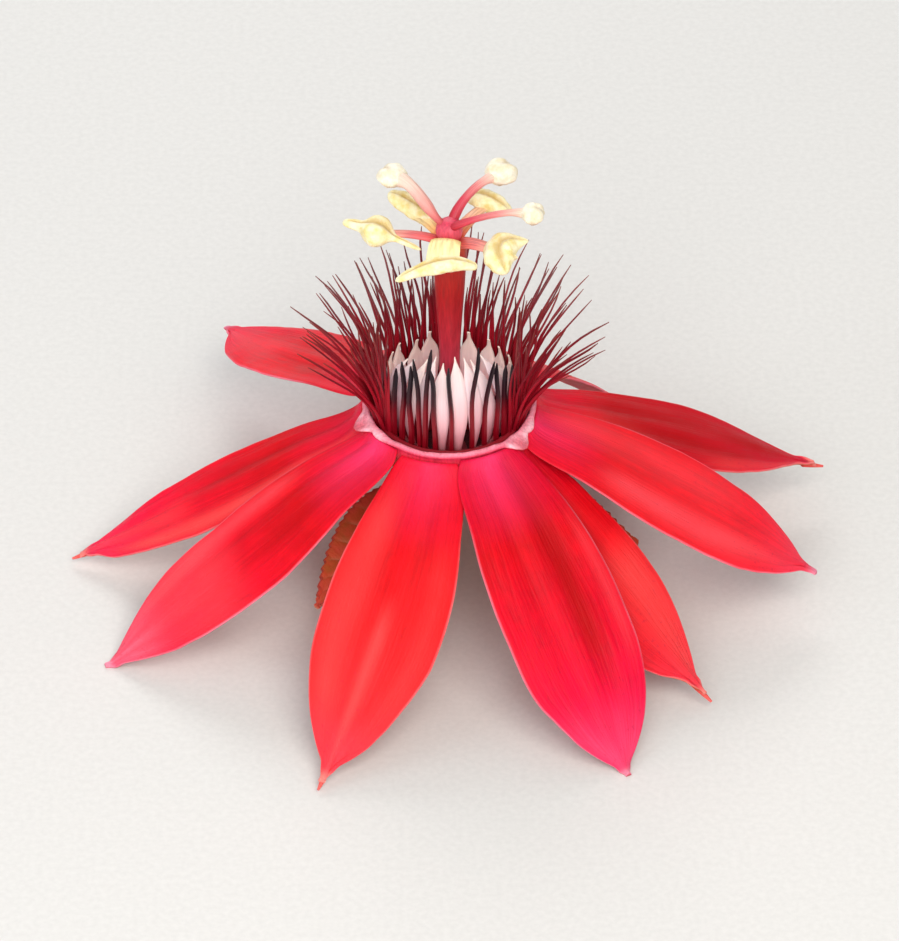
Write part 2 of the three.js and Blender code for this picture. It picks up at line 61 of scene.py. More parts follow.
RIM_HEIGHT = 36.5  # rim of the floral cup above the surface

# Profiles are lists of radius and height above the rim. The cup's runs from the middle of
# its floor up the inside, over the lip and down the outside.
CUP_RADIUS = 15.1
CUP_FLOOR = -10.2
CUP_PROFILE = [
    (5.0, CUP_FLOOR), (7.4, -10.0), (9.2, -9.2), (10.9, -7.6), (12.0, -6.0), (12.7, -4.5),
    (13.3, -3.0), (13.75, -1.5), (14.0, -0.5), (14.1, 0.1), (14.3, 0.42), (14.62, 0.56),
    (14.95, 0.46), (15.2, 0.16), (15.22, -0.16), (15.0, -0.42), (14.86, -0.62), (15.0, -0.95),
    (15.2, -1.8), (15.15, -2.9), (14.8, -4.0), (14.2, -5.2), (13.3, -6.8), (12.1, -8.4),
    (10.6, -9.9), (8.7, -11.2), (6.6, -12.1), (4.9, -12.6), (3.6, -12.9), (3.1, -13.4),
]
CUP_SIDES = 120
CUP_RIBS = 10
RIB_HEIGHT = 0.22
# Fleshy corners where the lip runs out between two petals: azimuth and length. Then half
# their width in degrees, how far they droop for each millimetre they reach out, and the
# length at which one is marked in full.
LIP_CORNERS = [(-40, 2.5), (-25, 0.9), (199, 2.6), (216, 0.6), (26, 1.4), (118, 1.3)]
LIP_CORNER_HALF = 13.0
LIP_CORNER_DROOP = 0.42
FULL_CORNER = 2.5

# Sepals and petals, as on the frame: azimuths of base and tip, reach of the tip from the
# axis, drop of its underside below the rim, half width, roll, arch and sideways bow. A
# tip that drops the whole rim height is a foot. Some have a blunter tip, a wide side or a
# pale tip of their own. Then the colours: tone runs from crimson to coral, pink and blush
# are the flush at base and tip, and each dark or light band has its place and half width
# across the blade, its start and end along it, and its strength.
# Dark bands are partly the sap's deeper red and partly painted shade; light bands are partly paler
# coral and partly painted highlights.
SEPALS = [
    # The first sepal's narrow light band down its outer half is a painted highlight; its other
    # light bands are paler coral.
    dict(base=-104, tip=-110, reach=63.9, drop=35.4, half=11.3, roll=-2.5, arch=0.1, bow=1.5,
         tone=1.0, pink=0.8, blush=0.25,
         dark=[(-0.1, 0.28, 0.05, 0.5, 0.12), (0.45, 0.12, 0.0, 0.35, 0.3)],
         light=[(0.02, 0.12, 0.5, 0.95, 0.8), (-0.65, 0.3, 0.15, 0.85, 0.5),
                (0.7, 0.25, 0.3, 0.8, 0.25)]),
    # The second sepal's dark band at its base is painted shadow, cast by the second petal.
    dict(base=-43, tip=-41, reach=58.5, drop=34.2, half=8.8, roll=11, arch=0.08, bow=-1.6,
         tone=0.72, pink=0.1, blush=0.1,
         dark=[(0.1, 0.9, 0.0, 0.2, 0.4), (0.0, 1.4, 0.3, 1.0, 0.2)],
         light=[(0.5, 0.5, 0.5, 1.0, 0.7)]),
    # The third sepal's low tone and its dark bands are painted shade: the blade lies in shade.
    dict(base=14, tip=15.6, reach=67.75, drop=29.0, half=8.8, roll=2, arch=0, bow=0,
         tone=0.1, pink=0.1, blush=0.05,
         dark=[(0.2, 1.3, 0.25, 1.0, 1.0), (-0.2, 0.3, 0.3, 0.8, 0.6)],
         light=[(-0.5, 0.4, 0.0, 0.35, 0.6), (-0.8, 0.2, 0.6, 0.95, 0.4)]),
    dict(base=100, tip=96, reach=60.53, drop=RIM_HEIGHT, half=10.4, roll=5, arch=0.15, bow=0,
         tone=0.5, pink=0.3, blush=0.2,
         dark=[(-0.3, 0.2, 0.0, 0.6, 0.6), (0.3, 0.2, 0.0, 0.5, 0.5)],
         light=[(0.0, 0.3, 0.5, 1.0, 0.4)]),
    dict(base=183, tip=180, reach=65.36, drop=34.8, half=8.5, roll=-6, arch=-0.16, bow=0,
         tone=0.2, pink=0.3, blush=0.3,
         dark=[(-0.35, 0.5, 0.02, 0.6, 0.6)],
         light=[(0.72, 0.2, 0.1, 0.85, 0.85), (0.1, 0.3, 0.65, 1.0, 0.4)]),
]
PETALS = [
    dict(base=-63, tip=-61.6, reach=64.8, drop=RIM_HEIGHT, half=11.5, roll=1, arch=0.22, bow=0,
         blunt=3.3, pale=0.1, tone=0.0, pink=1.0, blush=1.0,
         dark=[(0.3, 0.24, 0.05, 0.72, 1.0), (-0.3, 0.1, 0.0, 0.22, 0.7),
               (-0.75, 0.12, 0.0, 0.3, 0.4)],
         light=[(0.85, 0.1, 0.3, 0.7, 0.4)]),
    dict(base=-15, tip=-11.5, reach=65.5, drop=28.0, half=10.8, roll=1, arch=0.24, bow=-1.2,
         blunt=3.0, tone=0.7, pink=0.7, blush=0.15,
         dark=[(0.25, 0.12, 0.15, 0.85, 0.3), (-0.12, 0.08, 0.2, 0.9, 0.3),
               (0.7, 0.15, 0.1, 0.6, 0.1)],
         light=[(-0.5, 0.28, 0.3, 0.85, 0.9), (0.5, 0.4, 0.1, 0.7, 0.45)]),
    dict(base=57, tip=60, reach=53.0, drop=35.2, half=10.4, roll=2, arch=0.25, bow=0,
         tone=0.4, pink=0.5, blush=0.2,
         dark=[(0.3, 0.2, 0.0, 0.6, 0.6), (-0.3, 0.15, 0.0, 0.5, 0.5)],
         light=[(0.0, 0.3, 0.5, 1.0, 0.4)]),
    dict(base=147, tip=127, reach=67.5, drop=25.8, half=9.8, roll=0, arch=-0.05, bow=0,
         tone=0.4, pink=0.35, blush=0.1,
         dark=[(0.0, 0.9, 0.0, 0.3, 0.2), (-0.3, 0.2, 0.3, 0.8, 0.3)],
         light=[(0.25, 0.4, 0.6, 0.97, 0.55), (0.85, 0.12, 0.1, 0.6, 0.5)]),
    dict(base=217, tip=205, reach=66.4, drop=RIM_HEIGHT, half=9.2, roll=-5, arch=0.14, bow=0.8,
         blunt=2.7, wide=0.24, pale=0.34, tone=0.2, pink=1.0, blush=0.45,
         dark=[(0.1, 0.35, 0.12, 0.5, 0.7), (0.75, 0.15, 0.0, 0.4, 0.4)],
         light=[(-0.75, 0.2, 0.3, 0.9, 0.7), (0.0, 1.2, 0.58, 1.0, 0.6),
                (0.2, 0.8, 0.86, 1.0, 0.5)]),
]
PETAL_TOP = -0.1  # the petals are the upper ring, the sepals lie one blade lower
SEPAL_TOP = -1.7
SEPAL_BASE_LIFT = 1.0  # a sepal's base rises to meet the petals'
BLADE_MIDDLE = 1.15  # from the top of a ring down to the underside of its blades
# Width, as shares of the widest place, with half widths for the very tip. The blade opens
# and closes by powers: below 1 it opens fast, and a high one gives a blunt tip.
BASE_SHARE = 0.46
TIP_SHARE = 0.045
TIP_HALF = 1.45
LEAST_HALF = 0.3
BLADE_OPENING = 0.8
USUAL_BLUNT = 2.2
USUAL_PALE = 0.04
# Places along the blade, as shares of its length: the widest one, how far it closes from
# there, how long the base bends round the cup and how deep it sits in it, where a foot
# lies level and starts to flatten, where the channel is full and where the awn starts.
BLADE_WIDEST = 0.5
TIP_FROM_WIDEST = 0.465
BASE_FIT = 0.22
ROOT_DEPTH = 0.012
FOOT_FROM = 0.97
FOOT_FLATTENS_FROM = 0.78
CHANNEL_FROM = 0.3
AWN_FROM = 0.955
AWN_LENGTH = 4.4
CHANNEL = 0.03  # how far the edges stand above the midrib, per half width
RIPPLE = 0.35
RIPPLE_ALONG = 11  # radians of wave from base to tip, and from midrib to edge
RIPPLE_ACROSS = 2
EDGE_THICKNESS = 0.42  # share of the midrib's thickness
BLADE_COLUMNS = 24
BLADE_ROWS = 58
ROW_CROWDING = 1.25  # rows stand closer towards the tip

# Pedicel and bracts. The bracts start in the stalk and reach out below the sepals.
PEDICEL_TOP = -13.2
PEDICEL_END = -33.2
PEDICEL_BEND = 9.0
BRACTS = [-133, -13, 107]
BRACT_START = 2.0
BRACT_REACH = 34.0
BRACT_HEIGHT = -18.3
BRACT_DROP = 9.5
BRACT_LIFT = 2.2
BRACT_HALF = 9.2
BRACT_TEETH = 22
BRACT_VEINS = 8.5
BRACT_THICKNESS = 0.6
BRACT_COLUMNS = 32
BRACT_ROWS = 120

# Outer corona. The fringe leaves an opening at the front, given in degrees.
COLLAR_PROFILE = [
    (13.4, -0.7), (13.1, -2.0), (12.85, -3.0), (11.85, -5.4),
    (10.4, -5.4), (11.35, -3.0), (11.7, -1.6), (12.2, -0.7), (12.8, -0.4),
]
FILAMENT_ROOT = -2.0
FRONT_OPENING = 118
# Erect filaments in front of the barrel: azimuth of the root, height of the tip, degrees
# the tip strays, and how far it leans out.
FRONT_FILAMENTS = [
    (-150, 12.6, -2, 0.2), (-142.5, 12.8, -2, -0.3), (-133, 15.2, -3, -1.2),
    (-123.5, 14.2, -8, -1.4), (-115.4, 16.0, -10, -1.9), (-111, 19.2, 1, -2.1),
    (-101.8, 15.2, -7, -2.1), (-88.5, 15.8, -1, -2.1), (-71, 19.2, 8.5, -2.1),
    (-59.8, 15.4, 12, -1.4), (-47.7, 14.4, 8, -0.9), (-38, 13.6, 3, -0.4), (-31, 13.0, 2, 0.2),
]

# Inner corona: the barrel's outline and its strips.
BARREL_PROFILE = [
    (6.3, -9.9), (8.1, -6.2), (9.5, -3.0), (10.3, 0.6), (10.5, 4.0), (9.8, 7.4), (8.2, 10.3),
    (6.1, 12.6), (4.3, 14.3),
]
BARREL_STRIPS = 21
FIRST_STRIP = -81.5
STRIP_START = 0.12  # shares of the profile
TUBE_END = 0.23
TUBE_STEPS = 6
TUBE_HALF_WALL = 0.3

# Column and ovary.
COLUMN_PROFILE = [
    (3.1, -10.0), (2.7, -9.0), (2.3, -7.5), (2.0, -4.0), (1.85, 0.0), (1.75, 6.0), (1.8, 12.0),
    (2.0, 17.0), (2.25, 21.0), (2.5, 25.0), (2.7, 29.0), (2.85, 32.5), (2.95, 34.5),
    (2.9, 35.8), (2.4, 36.4),
]
OVARY_PROFILE = [
    (1.6, 36.1), (2.0, 36.6), (2.3, 37.2), (2.42, 38.0), (2.3, 38.8), (1.9, 39.5),
    (1.3, 39.95), (0.65, 40.15),
]

# Stamens: root azimuth, middle of the anther, its two ends from there, how thick its middle
# is and how far that reaches, how thick its two arms are, width of the filament at the
# column and at the anther, how far the filament arches, and its colour.
STAMENS = [
    dict(root=-98, at=(-1.3, -8.8, 37.2), ends=((-8.0, -1.0, -2.8), (6.1, 0.0, -0.7)),
         body=(1.55, 3.4), arms=(1.0, 1.05), width=(4.7, 6.0), lift=4.8, tint=0.0),
    dict(root=-28, at=(8.9, -5.0, 37.3), ends=((0.8, -3.8, -2.2), (4.7, 1.2, 1.2)),
         body=(2.7, 2.6), arms=(1.5, 0.6), width=(3.6, 2.4), lift=0.6, tint=0.9),
    dict(root=50, at=(6.6, 8.9, 37.4), ends=((-4.2, 1.0, 0.6), (4.0, -2.4, -0.8)),
         body=(1.95, 2.8), arms=(1.2, 1.2), width=(3.0, 2.0), lift=0.6, tint=0.6),
    dict(root=122, at=(-6.4, 7.2, 37.4), ends=((-4.2, 2.2, 1.4), (4.6, -3.2, -1.5)),
         body=(1.75, 4.2), arms=(1.2, 0.9), width=(3.4, 3.0), lift=0.3, tint=0.15),
    dict(root=184, at=(-12.4, 0.5, 37.3), ends=((-6.0, 2.2, 0.3), (7.6, -3.4, -1.5)),
         body=(2.75, 2.3), arms=(1.0, 0.55), width=(2.4, 1.6), lift=0.8, tint=0.95),
]
STAMEN_ROOT_RADIUS = 2.0
STAMEN_ROOT_HEIGHT = 35.9

# Styles and stigmas: azimuth on the ovary, middle of the stigma, half widths of the style
# at the ovary and further out, half width and half height of the stigma.
STYLES = [
    dict(root=62, at=(8.9, 8.3, 44.0), thick=(0.95, 0.8), knob=(3.0, 2.35)),
    dict(root=182, at=(-9.9, 7.3, 44.0), thick=(0.7, 1.12), knob=(2.75, 2.1)),
    dict(root=-58, at=(14.3, -1.8, 42.6), thick=(0.8, 0.62), knob=(2.25, 2.05)),
]
STYLE_ROOT_RADIUS = 1.15
STYLE_ROOT_HEIGHT = 39.2
STYLE_SLOPE = 42  # degrees from upright at the root

# Grains of pollen and of the stigmas.
POLLEN_GRAIN = 0.2778
STIGMA_GRAIN = 0.3846

# Lights: place, size and power in metres and watts, and colour.
LIGHTS = {
    "key_light": ((0.20, -0.50, 0.66), 0.50, 3.1, "#fffaf2"),
    "front_light": ((-0.12, -0.82, 0.62), 0.80, 5.4, "#ffffff"),
    "fill_light": ((-0.65, -0.30, 0.40), 0.60, 1.5, "#f2f6ff"),
    "back_light": ((-0.10, 0.60, 0.50), 0.40, 2.2, "#ffffff"),
}
LIGHTS_AIM = Vector((0, 0, 0.04))
CAMERA_AIM = Vector((0, -0.0075, 0.0275))

# ---- Small tools ----------------------------------------------------------------------


def linear(colour):
    """An sRGB hex colour as linear RGBA; a colour from the settings is linear already."""
    if not isinstance(colour, str):
        return tuple(colour)
    channels = [int(colour[i:i + 2], 16) / 255 for i in (1, 3, 5)]
    return tuple(
        c / 12.92 if c <= 0.04045 else ((c + 0.055) / 1.055) ** 2.4 for c in channels
    ) + (1.0,)


def mix(low, high, share):
    """Value between low and high."""
    return low + (high - low) * share


def smooth(low, high, value):
    """0 below low, 1 above high and a smooth step between."""
    share = min(max((value - low) / (high - low), 0.0), 1.0)
    return share * share * (3 - 2 * share)


def hump(value, middle, width):
    """1 at the middle, falling off smoothly on both sides."""
    return math.exp(-(((value - middle) / width) ** 2))


def polar(radius, azimuth, height=0.0):
    """Point at a radius, an azimuth in degrees and a height."""
    angle = math.radians(azimuth)
    return Vector((radius * math.cos(angle), radius * math.sin(angle), height))


def to_frame(point):
    """Turns a point in millimetres from the rim into one in metres on the frame."""
    return Vector((point.x, point.y, point.z + RIM_HEIGHT)) * MM


def from_frame(vertex):
    """A vertex's place in millimetres from the rim, with its azimuth in radians."""
    point = vertex.co / MM - UP * RIM_HEIGHT
    return point, math.atan2(point.y, point.x)


def waver(x, y, seed):
    """Smooth random value from about -1 to 1."""
    return noise.noise(Vector((x, y, seed * 7.31)))


def spline(points, share):
    """Point on the smooth curve through a list of (radius, height)."""
    place = share * (len(points) - 1)
    i = min(int(place), len(points) - 2)
    t = place - i
    p0, p1 = points[max(i - 1, 0)], points[i]
    p2, p3 = points[i + 1], points[min(i + 2, len(points) - 1)]
    return tuple(
        0.5 * (2 * b + (c - a) * t + (2 * a - 5 * b + 4 * c - d) * t * t
               + (3 * b - a - 3 * c + d) * t ** 3)
        for a, b, c, d in zip(p0, p1, p2, p3)
    )


# ---- Modelling tools ------------------------------------------------------------------


def deselect():
    """Leaves edit mode and selects nothing."""
    if bpy.context.object and bpy.context.object.mode != "OBJECT":
        bpy.ops.object.mode_set(mode="OBJECT")
    bpy.ops.object.select_all(action="DESELECT")


def take(piece):
    """Makes this piece the only selected one."""
    deselect()
    piece.select_set(True)
    bpy.context.view_layer.objects.active = piece


def mark(mesh, name, values):
    """Stores one number per vertex for the materials to read."""
    attribute = mesh.attributes.get(name) or mesh.attributes.new(name, "FLOAT", "POINT")
    attribute.data.foreach_set("value", values)


def marks(mesh, name):
    """Reads back the numbers that mark stored."""
    values = [0.0] * len(mesh.vertices)
    mesh.attributes[name].data.foreach_get("value", values)
    return values


def apply(piece, kind, **settings):
    """Adds a modifier, gives it its settings and applies it."""
    take(piece)
    modifier = piece.modifiers.new(kind.title(), kind)
    for name, value in settings.items():
        setattr(modifier, name, value)
    bpy.ops.object.modifier_apply(modifier=modifier.name)


def turn_outwards(piece):
    """Merges doubles and points all faces outwards."""
    take(piece)
    bpy.ops.object.mode_set(mode="EDIT")
    bpy.ops.mesh.select_all(action="SELECT")
    bpy.ops.mesh.remove_doubles(threshold=0.5e-6)
    bpy.ops.mesh.normals_make_consistent(inside=False)
    bpy.ops.object.mode_set(mode="OBJECT")


def turned(profile, sides, closed=False):
    """A body round the flower's axis: a circle extruded and widened from ring to ring."""
    deselect()
    radius, height = profile[0]
    bpy.ops.mesh.primitive_circle_add(
        vertices=sides, radius=radius * MM, fill_type="NOTHING" if closed else "NGON",
        location=(0, 0, (height + RIM_HEIGHT) * MM),
    )
    bpy.ops.object.transform_apply(location=True, rotation=True, scale=True)
    piece = bpy.context.active_object
    bpy.ops.object.mode_set(mode="EDIT")
    bpy.ops.mesh.select_all(action="SELECT")
    rings = list(profile) + ([profile[0]] if closed else [])
    for (r0, z0), (r1, z1) in zip(rings, rings[1:]):
        bpy.ops.mesh.extrude_region_move(
            TRANSFORM_OT_translate={"value": (0, 0, (z1 - z0) * MM)}
        )
        bpy.ops.transform.resize(
            value=(r1 / r0, r1 / r0, 1), center_override=(0, 0, (z1 + RIM_HEIGHT) * MM)
        )
    bpy.ops.object.mode_set(mode="OBJECT")
    turn_outwards(piece)
    return piece


def straight_rod(sides, steps):
    """A closed rod of radius 1 from z 0 to z 1: a disc extruded step by step."""
    deselect()
    bpy.ops.mesh.primitive_circle_add(vertices=sides, radius=1, fill_type="NGON")
    rod = bpy.context.active_object
    bpy.ops.object.mode_set(mode="EDIT")
    bpy.ops.mesh.select_all(action="SELECT")
    for _ in range(steps):
        bpy.ops.mesh.extrude_region_move(TRANSFORM_OT_translate={"value": (0, 0, 1 / steps)})
    bpy.ops.object.mode_set(mode="OBJECT")
    turn_outwards(rod)
    return rod


def bent(rod, path, size, sideways=None, tone=0.0):
    """A copy of a straight rod, bent along a path; size gives half its width and thickness."""
    mesh = rod.data.copy()
    shares = [min(max(vertex.co.z, 0.0), 1.0) for vertex in mesh.vertices]
    mark(mesh, "around", [vertex.co.x + 0.4 * vertex.co.y for vertex in mesh.vertices])
    for vertex, share in zip(mesh.vertices, shares):
        ahead = (path(min(share + 0.02, 1.0)) - path(max(share - 0.02, 0.0))).normalized()
        side = sideways(share) if sideways else ahead.cross(UP)
        side = (side - ahead * side.dot(ahead)).normalized()
        width, thickness = size(share)
        vertex.co = to_frame(
            path(share) + side * vertex.co.x * width
            + ahead.cross(side) * vertex.co.y * thickness
        )
    mark(mesh, "along", shares)
    mark(mesh, "tone", [tone] * len(shares))
    piece = bpy.data.objects.new("rod", mesh)
    bpy.context.scene.collection.objects.link(piece)
    return piece


def joined(pieces):
    """Joins pieces into the first one."""
    take(pieces[0])
    for piece in pieces:
        piece.select_set(True)
    bpy.ops.object.join()
    return bpy.context.active_object


def remove(piece):
    """Deletes a piece that was only a start for copies."""
    mesh = piece.data
    bpy.data.objects.remove(piece)
    bpy.data.meshes.remove(mesh)


def finish(piece, name, nodes, material, angle=60):
    """Names a piece, smooths it, paints it and lets it stand for its nodes of the frame."""
    take(piece)
    bpy.ops.object.shade_smooth_by_angle(angle=math.radians(angle))
    piece.name = piece.data.name = name
    piece.data.materials.clear()
    piece.data.materials.append(material)
    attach(piece, "root")
    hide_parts(*nodes)


# ---- Materials ------------------------------------------------------------------------


def per(size):
    """Scale of a pattern whose features are this many millimetres apart."""
    return 1 / (size * MM)


def add_node(tree, kind, inputs=None, stops=(), **settings):
    """Adds a node with its links and settings, and for a ramp its stops.

    Each input gets a value, another node's output, or another node's first output. A stop
    is a place and a hex colour.
    """
    node = tree.nodes.new("ShaderNode" + kind)
    for name, value in settings.items():
        setattr(node, name, value)
    for key, value in (inputs or {}).items():
        if isinstance(value, bpy.types.Node):
            value = value.outputs[0]
        if isinstance(value, bpy.types.NodeSocket):
            tree.links.new(value, node.inputs[key])
        else:
            node.inputs[key].default_value = value
    if stops:
        elements = node.color_ramp.elements
        for place, _ in stops[2:]:
            elements.new(place)
        for element, (place, colour) in zip(elements, stops):
            element.position, element.color = place, linear(colour)
    return node


def new_material(name, *keys):
    """An empty material: its tree, the place on the piece and the marks that it reads."""
    material = bpy.data.materials.new(name)
    material.use_nodes = True
    tree = material.node_tree
    tree.nodes.clear()
    place = add_node(tree, "TexCoord").outputs["Object"]
    read = {
        key: add_node(tree, "Attribute", attribute_name=key).outputs["Fac"] for key in keys
    }
    return material, tree, place, read


def petal_tissue(name, look):
    """Fresh petal: a waxy skin of tiny swollen cells over red sap, lit through a little.

    It gives the eye a satin sheen on saturated red, with fine streaks along the blade.
    """
    material, tree, place, read = new_material(
        name, "along", "across", "tone", "pink", "furrow", "light", "edge", "tip", "under")
    crimson = add_node(tree, "ValToRGB", {0: read["along"]}, stops=[
        (0.0, "#d60230"), (0.3, "#d60014"), (0.62, "#e4002a"), (0.86, "#ec0440"),
        (1.0, "#f42052"),
    ])
    coral = add_node(tree, "ValToRGB", {0: read["along"]}, stops=[
        (0.0, "#e00828"), (0.28, "#e60a18"), (0.5, "#f0161c"), (0.8, "#f6262c"),
        (1.0, "#f83c44"),
    ])
    colour = add_node(tree, "Mix", {0: read["tone"], 6: crimson, 7: coral},
                      data_type="RGBA").outputs[2]
    # Streaks 0.75 mm wide and 13 mm long, on a blade 22.5 mm wide and 65 mm long.
    strands = add_node(tree, "CombineXYZ", {0: read["across"], 1: read["along"],
                                            2: read["tone"]})
    stretch = add_node(tree, "VectorMath", {0: strands, 1: (11.25 / 0.75, 65 / 13, 9.0)},
                       operation="MULTIPLY")
    streaks = add_node(tree, "TexNoise", {"Vector": stretch, "Scale": 1.0, "Detail": 5.0,
                                          "Roughness": 0.62})
    streak = add_node(tree, "MapRange", {0: streaks, 1: 0.32, 2: 0.68, 3: 0.86, 4: 1.12})
    # Blotches some 4 mm wide, as of cells with more or less sap.
    blotches = add_node(tree, "TexNoise", {"Vector": place, "Scale": per(3.846),
                                           "Detail": 3.0, "Roughness": 0.6})
    blotch = add_node(tree, "MapRange", {0: blotches, 1: 0.3, 2: 0.7, 3: 0.9, 4: 1.1})
    strength = add_node(tree, "Math", {0: streak, 1: blotch}, operation="MULTIPLY")
    colour = add_node(tree, "VectorMath", {0: colour, "Scale": strength}, operation="SCALE")
    # The furrow layer is sap red and painted shade, the light layer paler coral and painted
    # highlights.
    layers = [("furrow", look.sap_and_shade_colour), ("light", look.coral_and_highlight_colour),
              ("pink", look.base_colour), ("tip", look.tip_colour),
              ("under", look.under_colour), ("edge", look.edge_colour)]
    for key, tint in layers:
        colour = add_node(tree, "Mix", {0: read[key], 6: colour, 7: linear(tint)},
                          data_type="RGBA").outputs[2]
    # Dark specks 0.67 mm apart, thickest towards the tip.
    grit = add_node(tree, "TexNoise", {"Vector": place, "Scale": per(0.6667),
                                       "Detail": 2.0, "Roughness": 0.5})
    specks = add_node(tree, "MapRange", {0: grit, 1: 0.61, 2: 0.72, 3: 0.0, 4: 0.36})
    outer = add_node(tree, "MapRange", {0: read["along"], 1: 0.35, 2: 0.9, 3: 0.15, 4: 1.0})
    speck = add_node(tree, "Math", {0: specks, 1: outer}, operation="MULTIPLY")
    colour = add_node(tree, "Mix", {0: speck, 6: colour, 7: linear("#b00a3a")},
                      data_type="RGBA").outputs[2]
    # The skin's cells, drawn at 0.3 mm because their real 0.03 mm can't show.
    cells = add_node(tree, "TexVoronoi", {"Vector": place, "Scale": per(0.303)})
    grain = add_node(tree, "Bump", {"Height": cells, "Strength": 0.12, "Distance": 0.1 * MM})
    ribs = add_node(tree, "Bump", {"Height": streaks, "Strength": 0.55,
                                   "Distance": 0.4 * MM, "Normal": grain})
    gloss = add_node(tree, "MapRange", {0: blotches, 1: 0.3, 2: 0.7, 3: 0.4, 4: 0.54})
    skin = add_node(tree, "BsdfPrincipled", {
        "Base Color": colour, "Roughness": gloss, "IOR": 1.36, "Specular IOR Level": 0.22,
        "Subsurface Weight": 0.3, "Subsurface Radius": (1.0, 0.16, 0.14),
        "Subsurface Scale": 1.6 * MM, "Normal": ribs,
    })
    add_node(tree, "OutputMaterial", {"Surface": skin})
    return material


def cup_tissue(look):
    """Floral cup: thick smooth flesh, dark inside, pink on the lip and ochre underneath.

    It gives the eye a soft satin skin with fine upright wrinkles.
    """
    material, tree, place, read = new_material("floral_cup_flesh", "inside", "corner")
    height = add_node(tree, "SeparateXYZ", {0: place}).outputs[2]
    level = add_node(tree, "MapRange", {0: height, 1: (RIM_HEIGHT - 13.6) * MM,
                                        2: (RIM_HEIGHT + 0.6) * MM, 3: 0.0, 4: 1.0})
    colour = add_node(tree, "ValToRGB", {0: level}, stops=[
        (0.0, "#8e8a3a"), (0.3, "#b9893f"), (0.6, "#d0623c"), (0.8, "#d0303a"),
        (0.9, "#c81038"), (0.955, "#e8506e"), (1.0, look.lip_colour),
    ])
    for key, tint in (("inside", "#4a0410"), ("corner", "#ffb9c4")):
        colour = add_node(tree, "Mix", {0: read[key], 6: colour, 7: linear(tint)},
                          data_type="RGBA").outputs[2]
    # Mottling 1.4 mm wide, and wrinkles 0.42 mm apart over the lip and the wall.
    mottle = add_node(tree, "TexNoise", {"Vector": place, "Scale": per(1.43), "Detail": 4.0})
    upright = add_node(tree, "Mapping", {0: place, 3: (per(0.4167), per(0.4167), per(3.85))})
    wrinkles = add_node(tree, "TexNoise", {"Vector": upright, "Scale": 1.0, "Detail": 3.0})
    for pattern, dark in ((mottle, 0.86), (wrinkles, 0.8)):
        amount = add_node(tree, "MapRange", {0: pattern, 1: 0.3, 2: 0.7, 3: dark, 4: 1.12})
        colour = add_node(tree, "VectorMath", {0: colour, "Scale": amount},
                          operation="SCALE")
    bumps = add_node(tree, "Bump", {"Height": wrinkles, "Strength": 0.6,
                                    "Distance": 0.4 * MM})
    skin = add_node(tree, "BsdfPrincipled", {
        "Base Color": colour, "Roughness": 0.42, "IOR": 1.4, "Subsurface Weight": 0.15,
        "Subsurface Radius": (1.0, 0.3, 0.25), "Subsurface Scale": 1.2 * MM, "Normal": bumps,
    })
    add_node(tree, "OutputMaterial", {"Surface": skin})
    return material


def strand_tissue(name, stops, other_stops, rough, grain=0.3, subsurface=0.1, depth=1.4,
                  upright=False):
    """Smooth juicy threads and stalks, coloured along their length.

    It gives the eye a soft wet sheen and fine streaks along the strand; the tone of each
    strand lies between two colourings. Streaks of an upright body run along Z.
    """
    material, tree, place, read = new_material(name, "along", "tone", "around")
    one = add_node(tree, "ValToRGB", {0: read["along"]}, stops=stops)
    other = add_node(tree, "ValToRGB", {0: read["along"]}, stops=other_stops)
    colour = add_node(tree, "Mix", {0: read["tone"], 6: one, 7: other},
                      data_type="RGBA").outputs[2]
    if upright:
        # Streaks 0.38 mm apart and 3.1 mm long.
        body = place
        fine = (per(0.3846), per(0.3846), per(3.125))
    else:
        # Ten streaks across a strand, each two fifths of its length.
        body = add_node(tree, "CombineXYZ", {0: read["around"], 1: read["along"],
                                             2: read["tone"]})
        fine = (5.0, 2.5, 17.0)
    stretch = add_node(tree, "Mapping", {0: body, 3: fine})
    streaks = add_node(tree, "TexNoise", {"Vector": stretch, "Scale": 1.0, "Detail": 3.0})
    amount = add_node(tree, "MapRange", {0: streaks, 1: 0.3, 2: 0.7,
                                         3: 1 - grain * 0.6, 4: 1 + grain * 0.5})
    colour = add_node(tree, "VectorMath", {0: colour, "Scale": amount}, operation="SCALE")
    bumps = add_node(tree, "Bump", {"Height": streaks, "Strength": grain,
                                    "Distance": 0.2 * MM})
    skin = add_node(tree, "BsdfPrincipled", {
        "Base Color": colour, "Roughness": rough, "IOR": 1.4,
        "Subsurface Weight": subsurface, "Subsurface Radius": (1.0, 0.75, 0.65),
        "Subsurface Scale": depth * MM, "Normal": bumps,
    })
    add_node(tree, "OutputMaterial", {"Surface": skin})
    return material


def pollen_tissue(name, light, deep, groove, size):
    """Ripe anther or stigma: a knobbly surface dusted with grains of a size in millimetres.

    It gives the eye a dry, soft and matt cream. The real grains, 0.06 mm, are too fine to
    show, and are drawn coarser.
    """
    material, tree, place, read = new_material(name, "painted_shade")
    clouds = add_node(tree, "TexNoise", {"Vector": place, "Scale": per(1.43), "Detail": 3.0})
    ramp = add_node(tree, "ValToRGB", {0: clouds}, stops=[(0.32, deep), (0.62, light)])
    # The groove colour is painted shade: in the anthers' groove between the sacs, in the stigmas'
    # cleft and under the stigmas.
    colour = add_node(tree, "Mix", {0: read["painted_shade"], 6: ramp, 7: linear(groove)},
                      data_type="RGBA").outputs[2]
    grains = add_node(tree, "TexVoronoi", {"Vector": place, "Scale": per(size)})
    bumps = add_node(tree, "Bump", {"Height": grains, "Strength": 0.3,
                                    "Distance": 0.25 * MM}, invert=True)
    skin = add_node(tree, "BsdfPrincipled", {
        "Base Color": colour, "Roughness": 0.62, "IOR": 1.4, "Subsurface Weight": 0.12,
        "Subsurface Radius": (1.0, 0.8, 0.5), "Subsurface Scale": 0.8 * MM,
        "Sheen Weight": 0.2, "Normal": bumps,
    })
    add_node(tree, "OutputMaterial", {"Surface": skin})
    return material


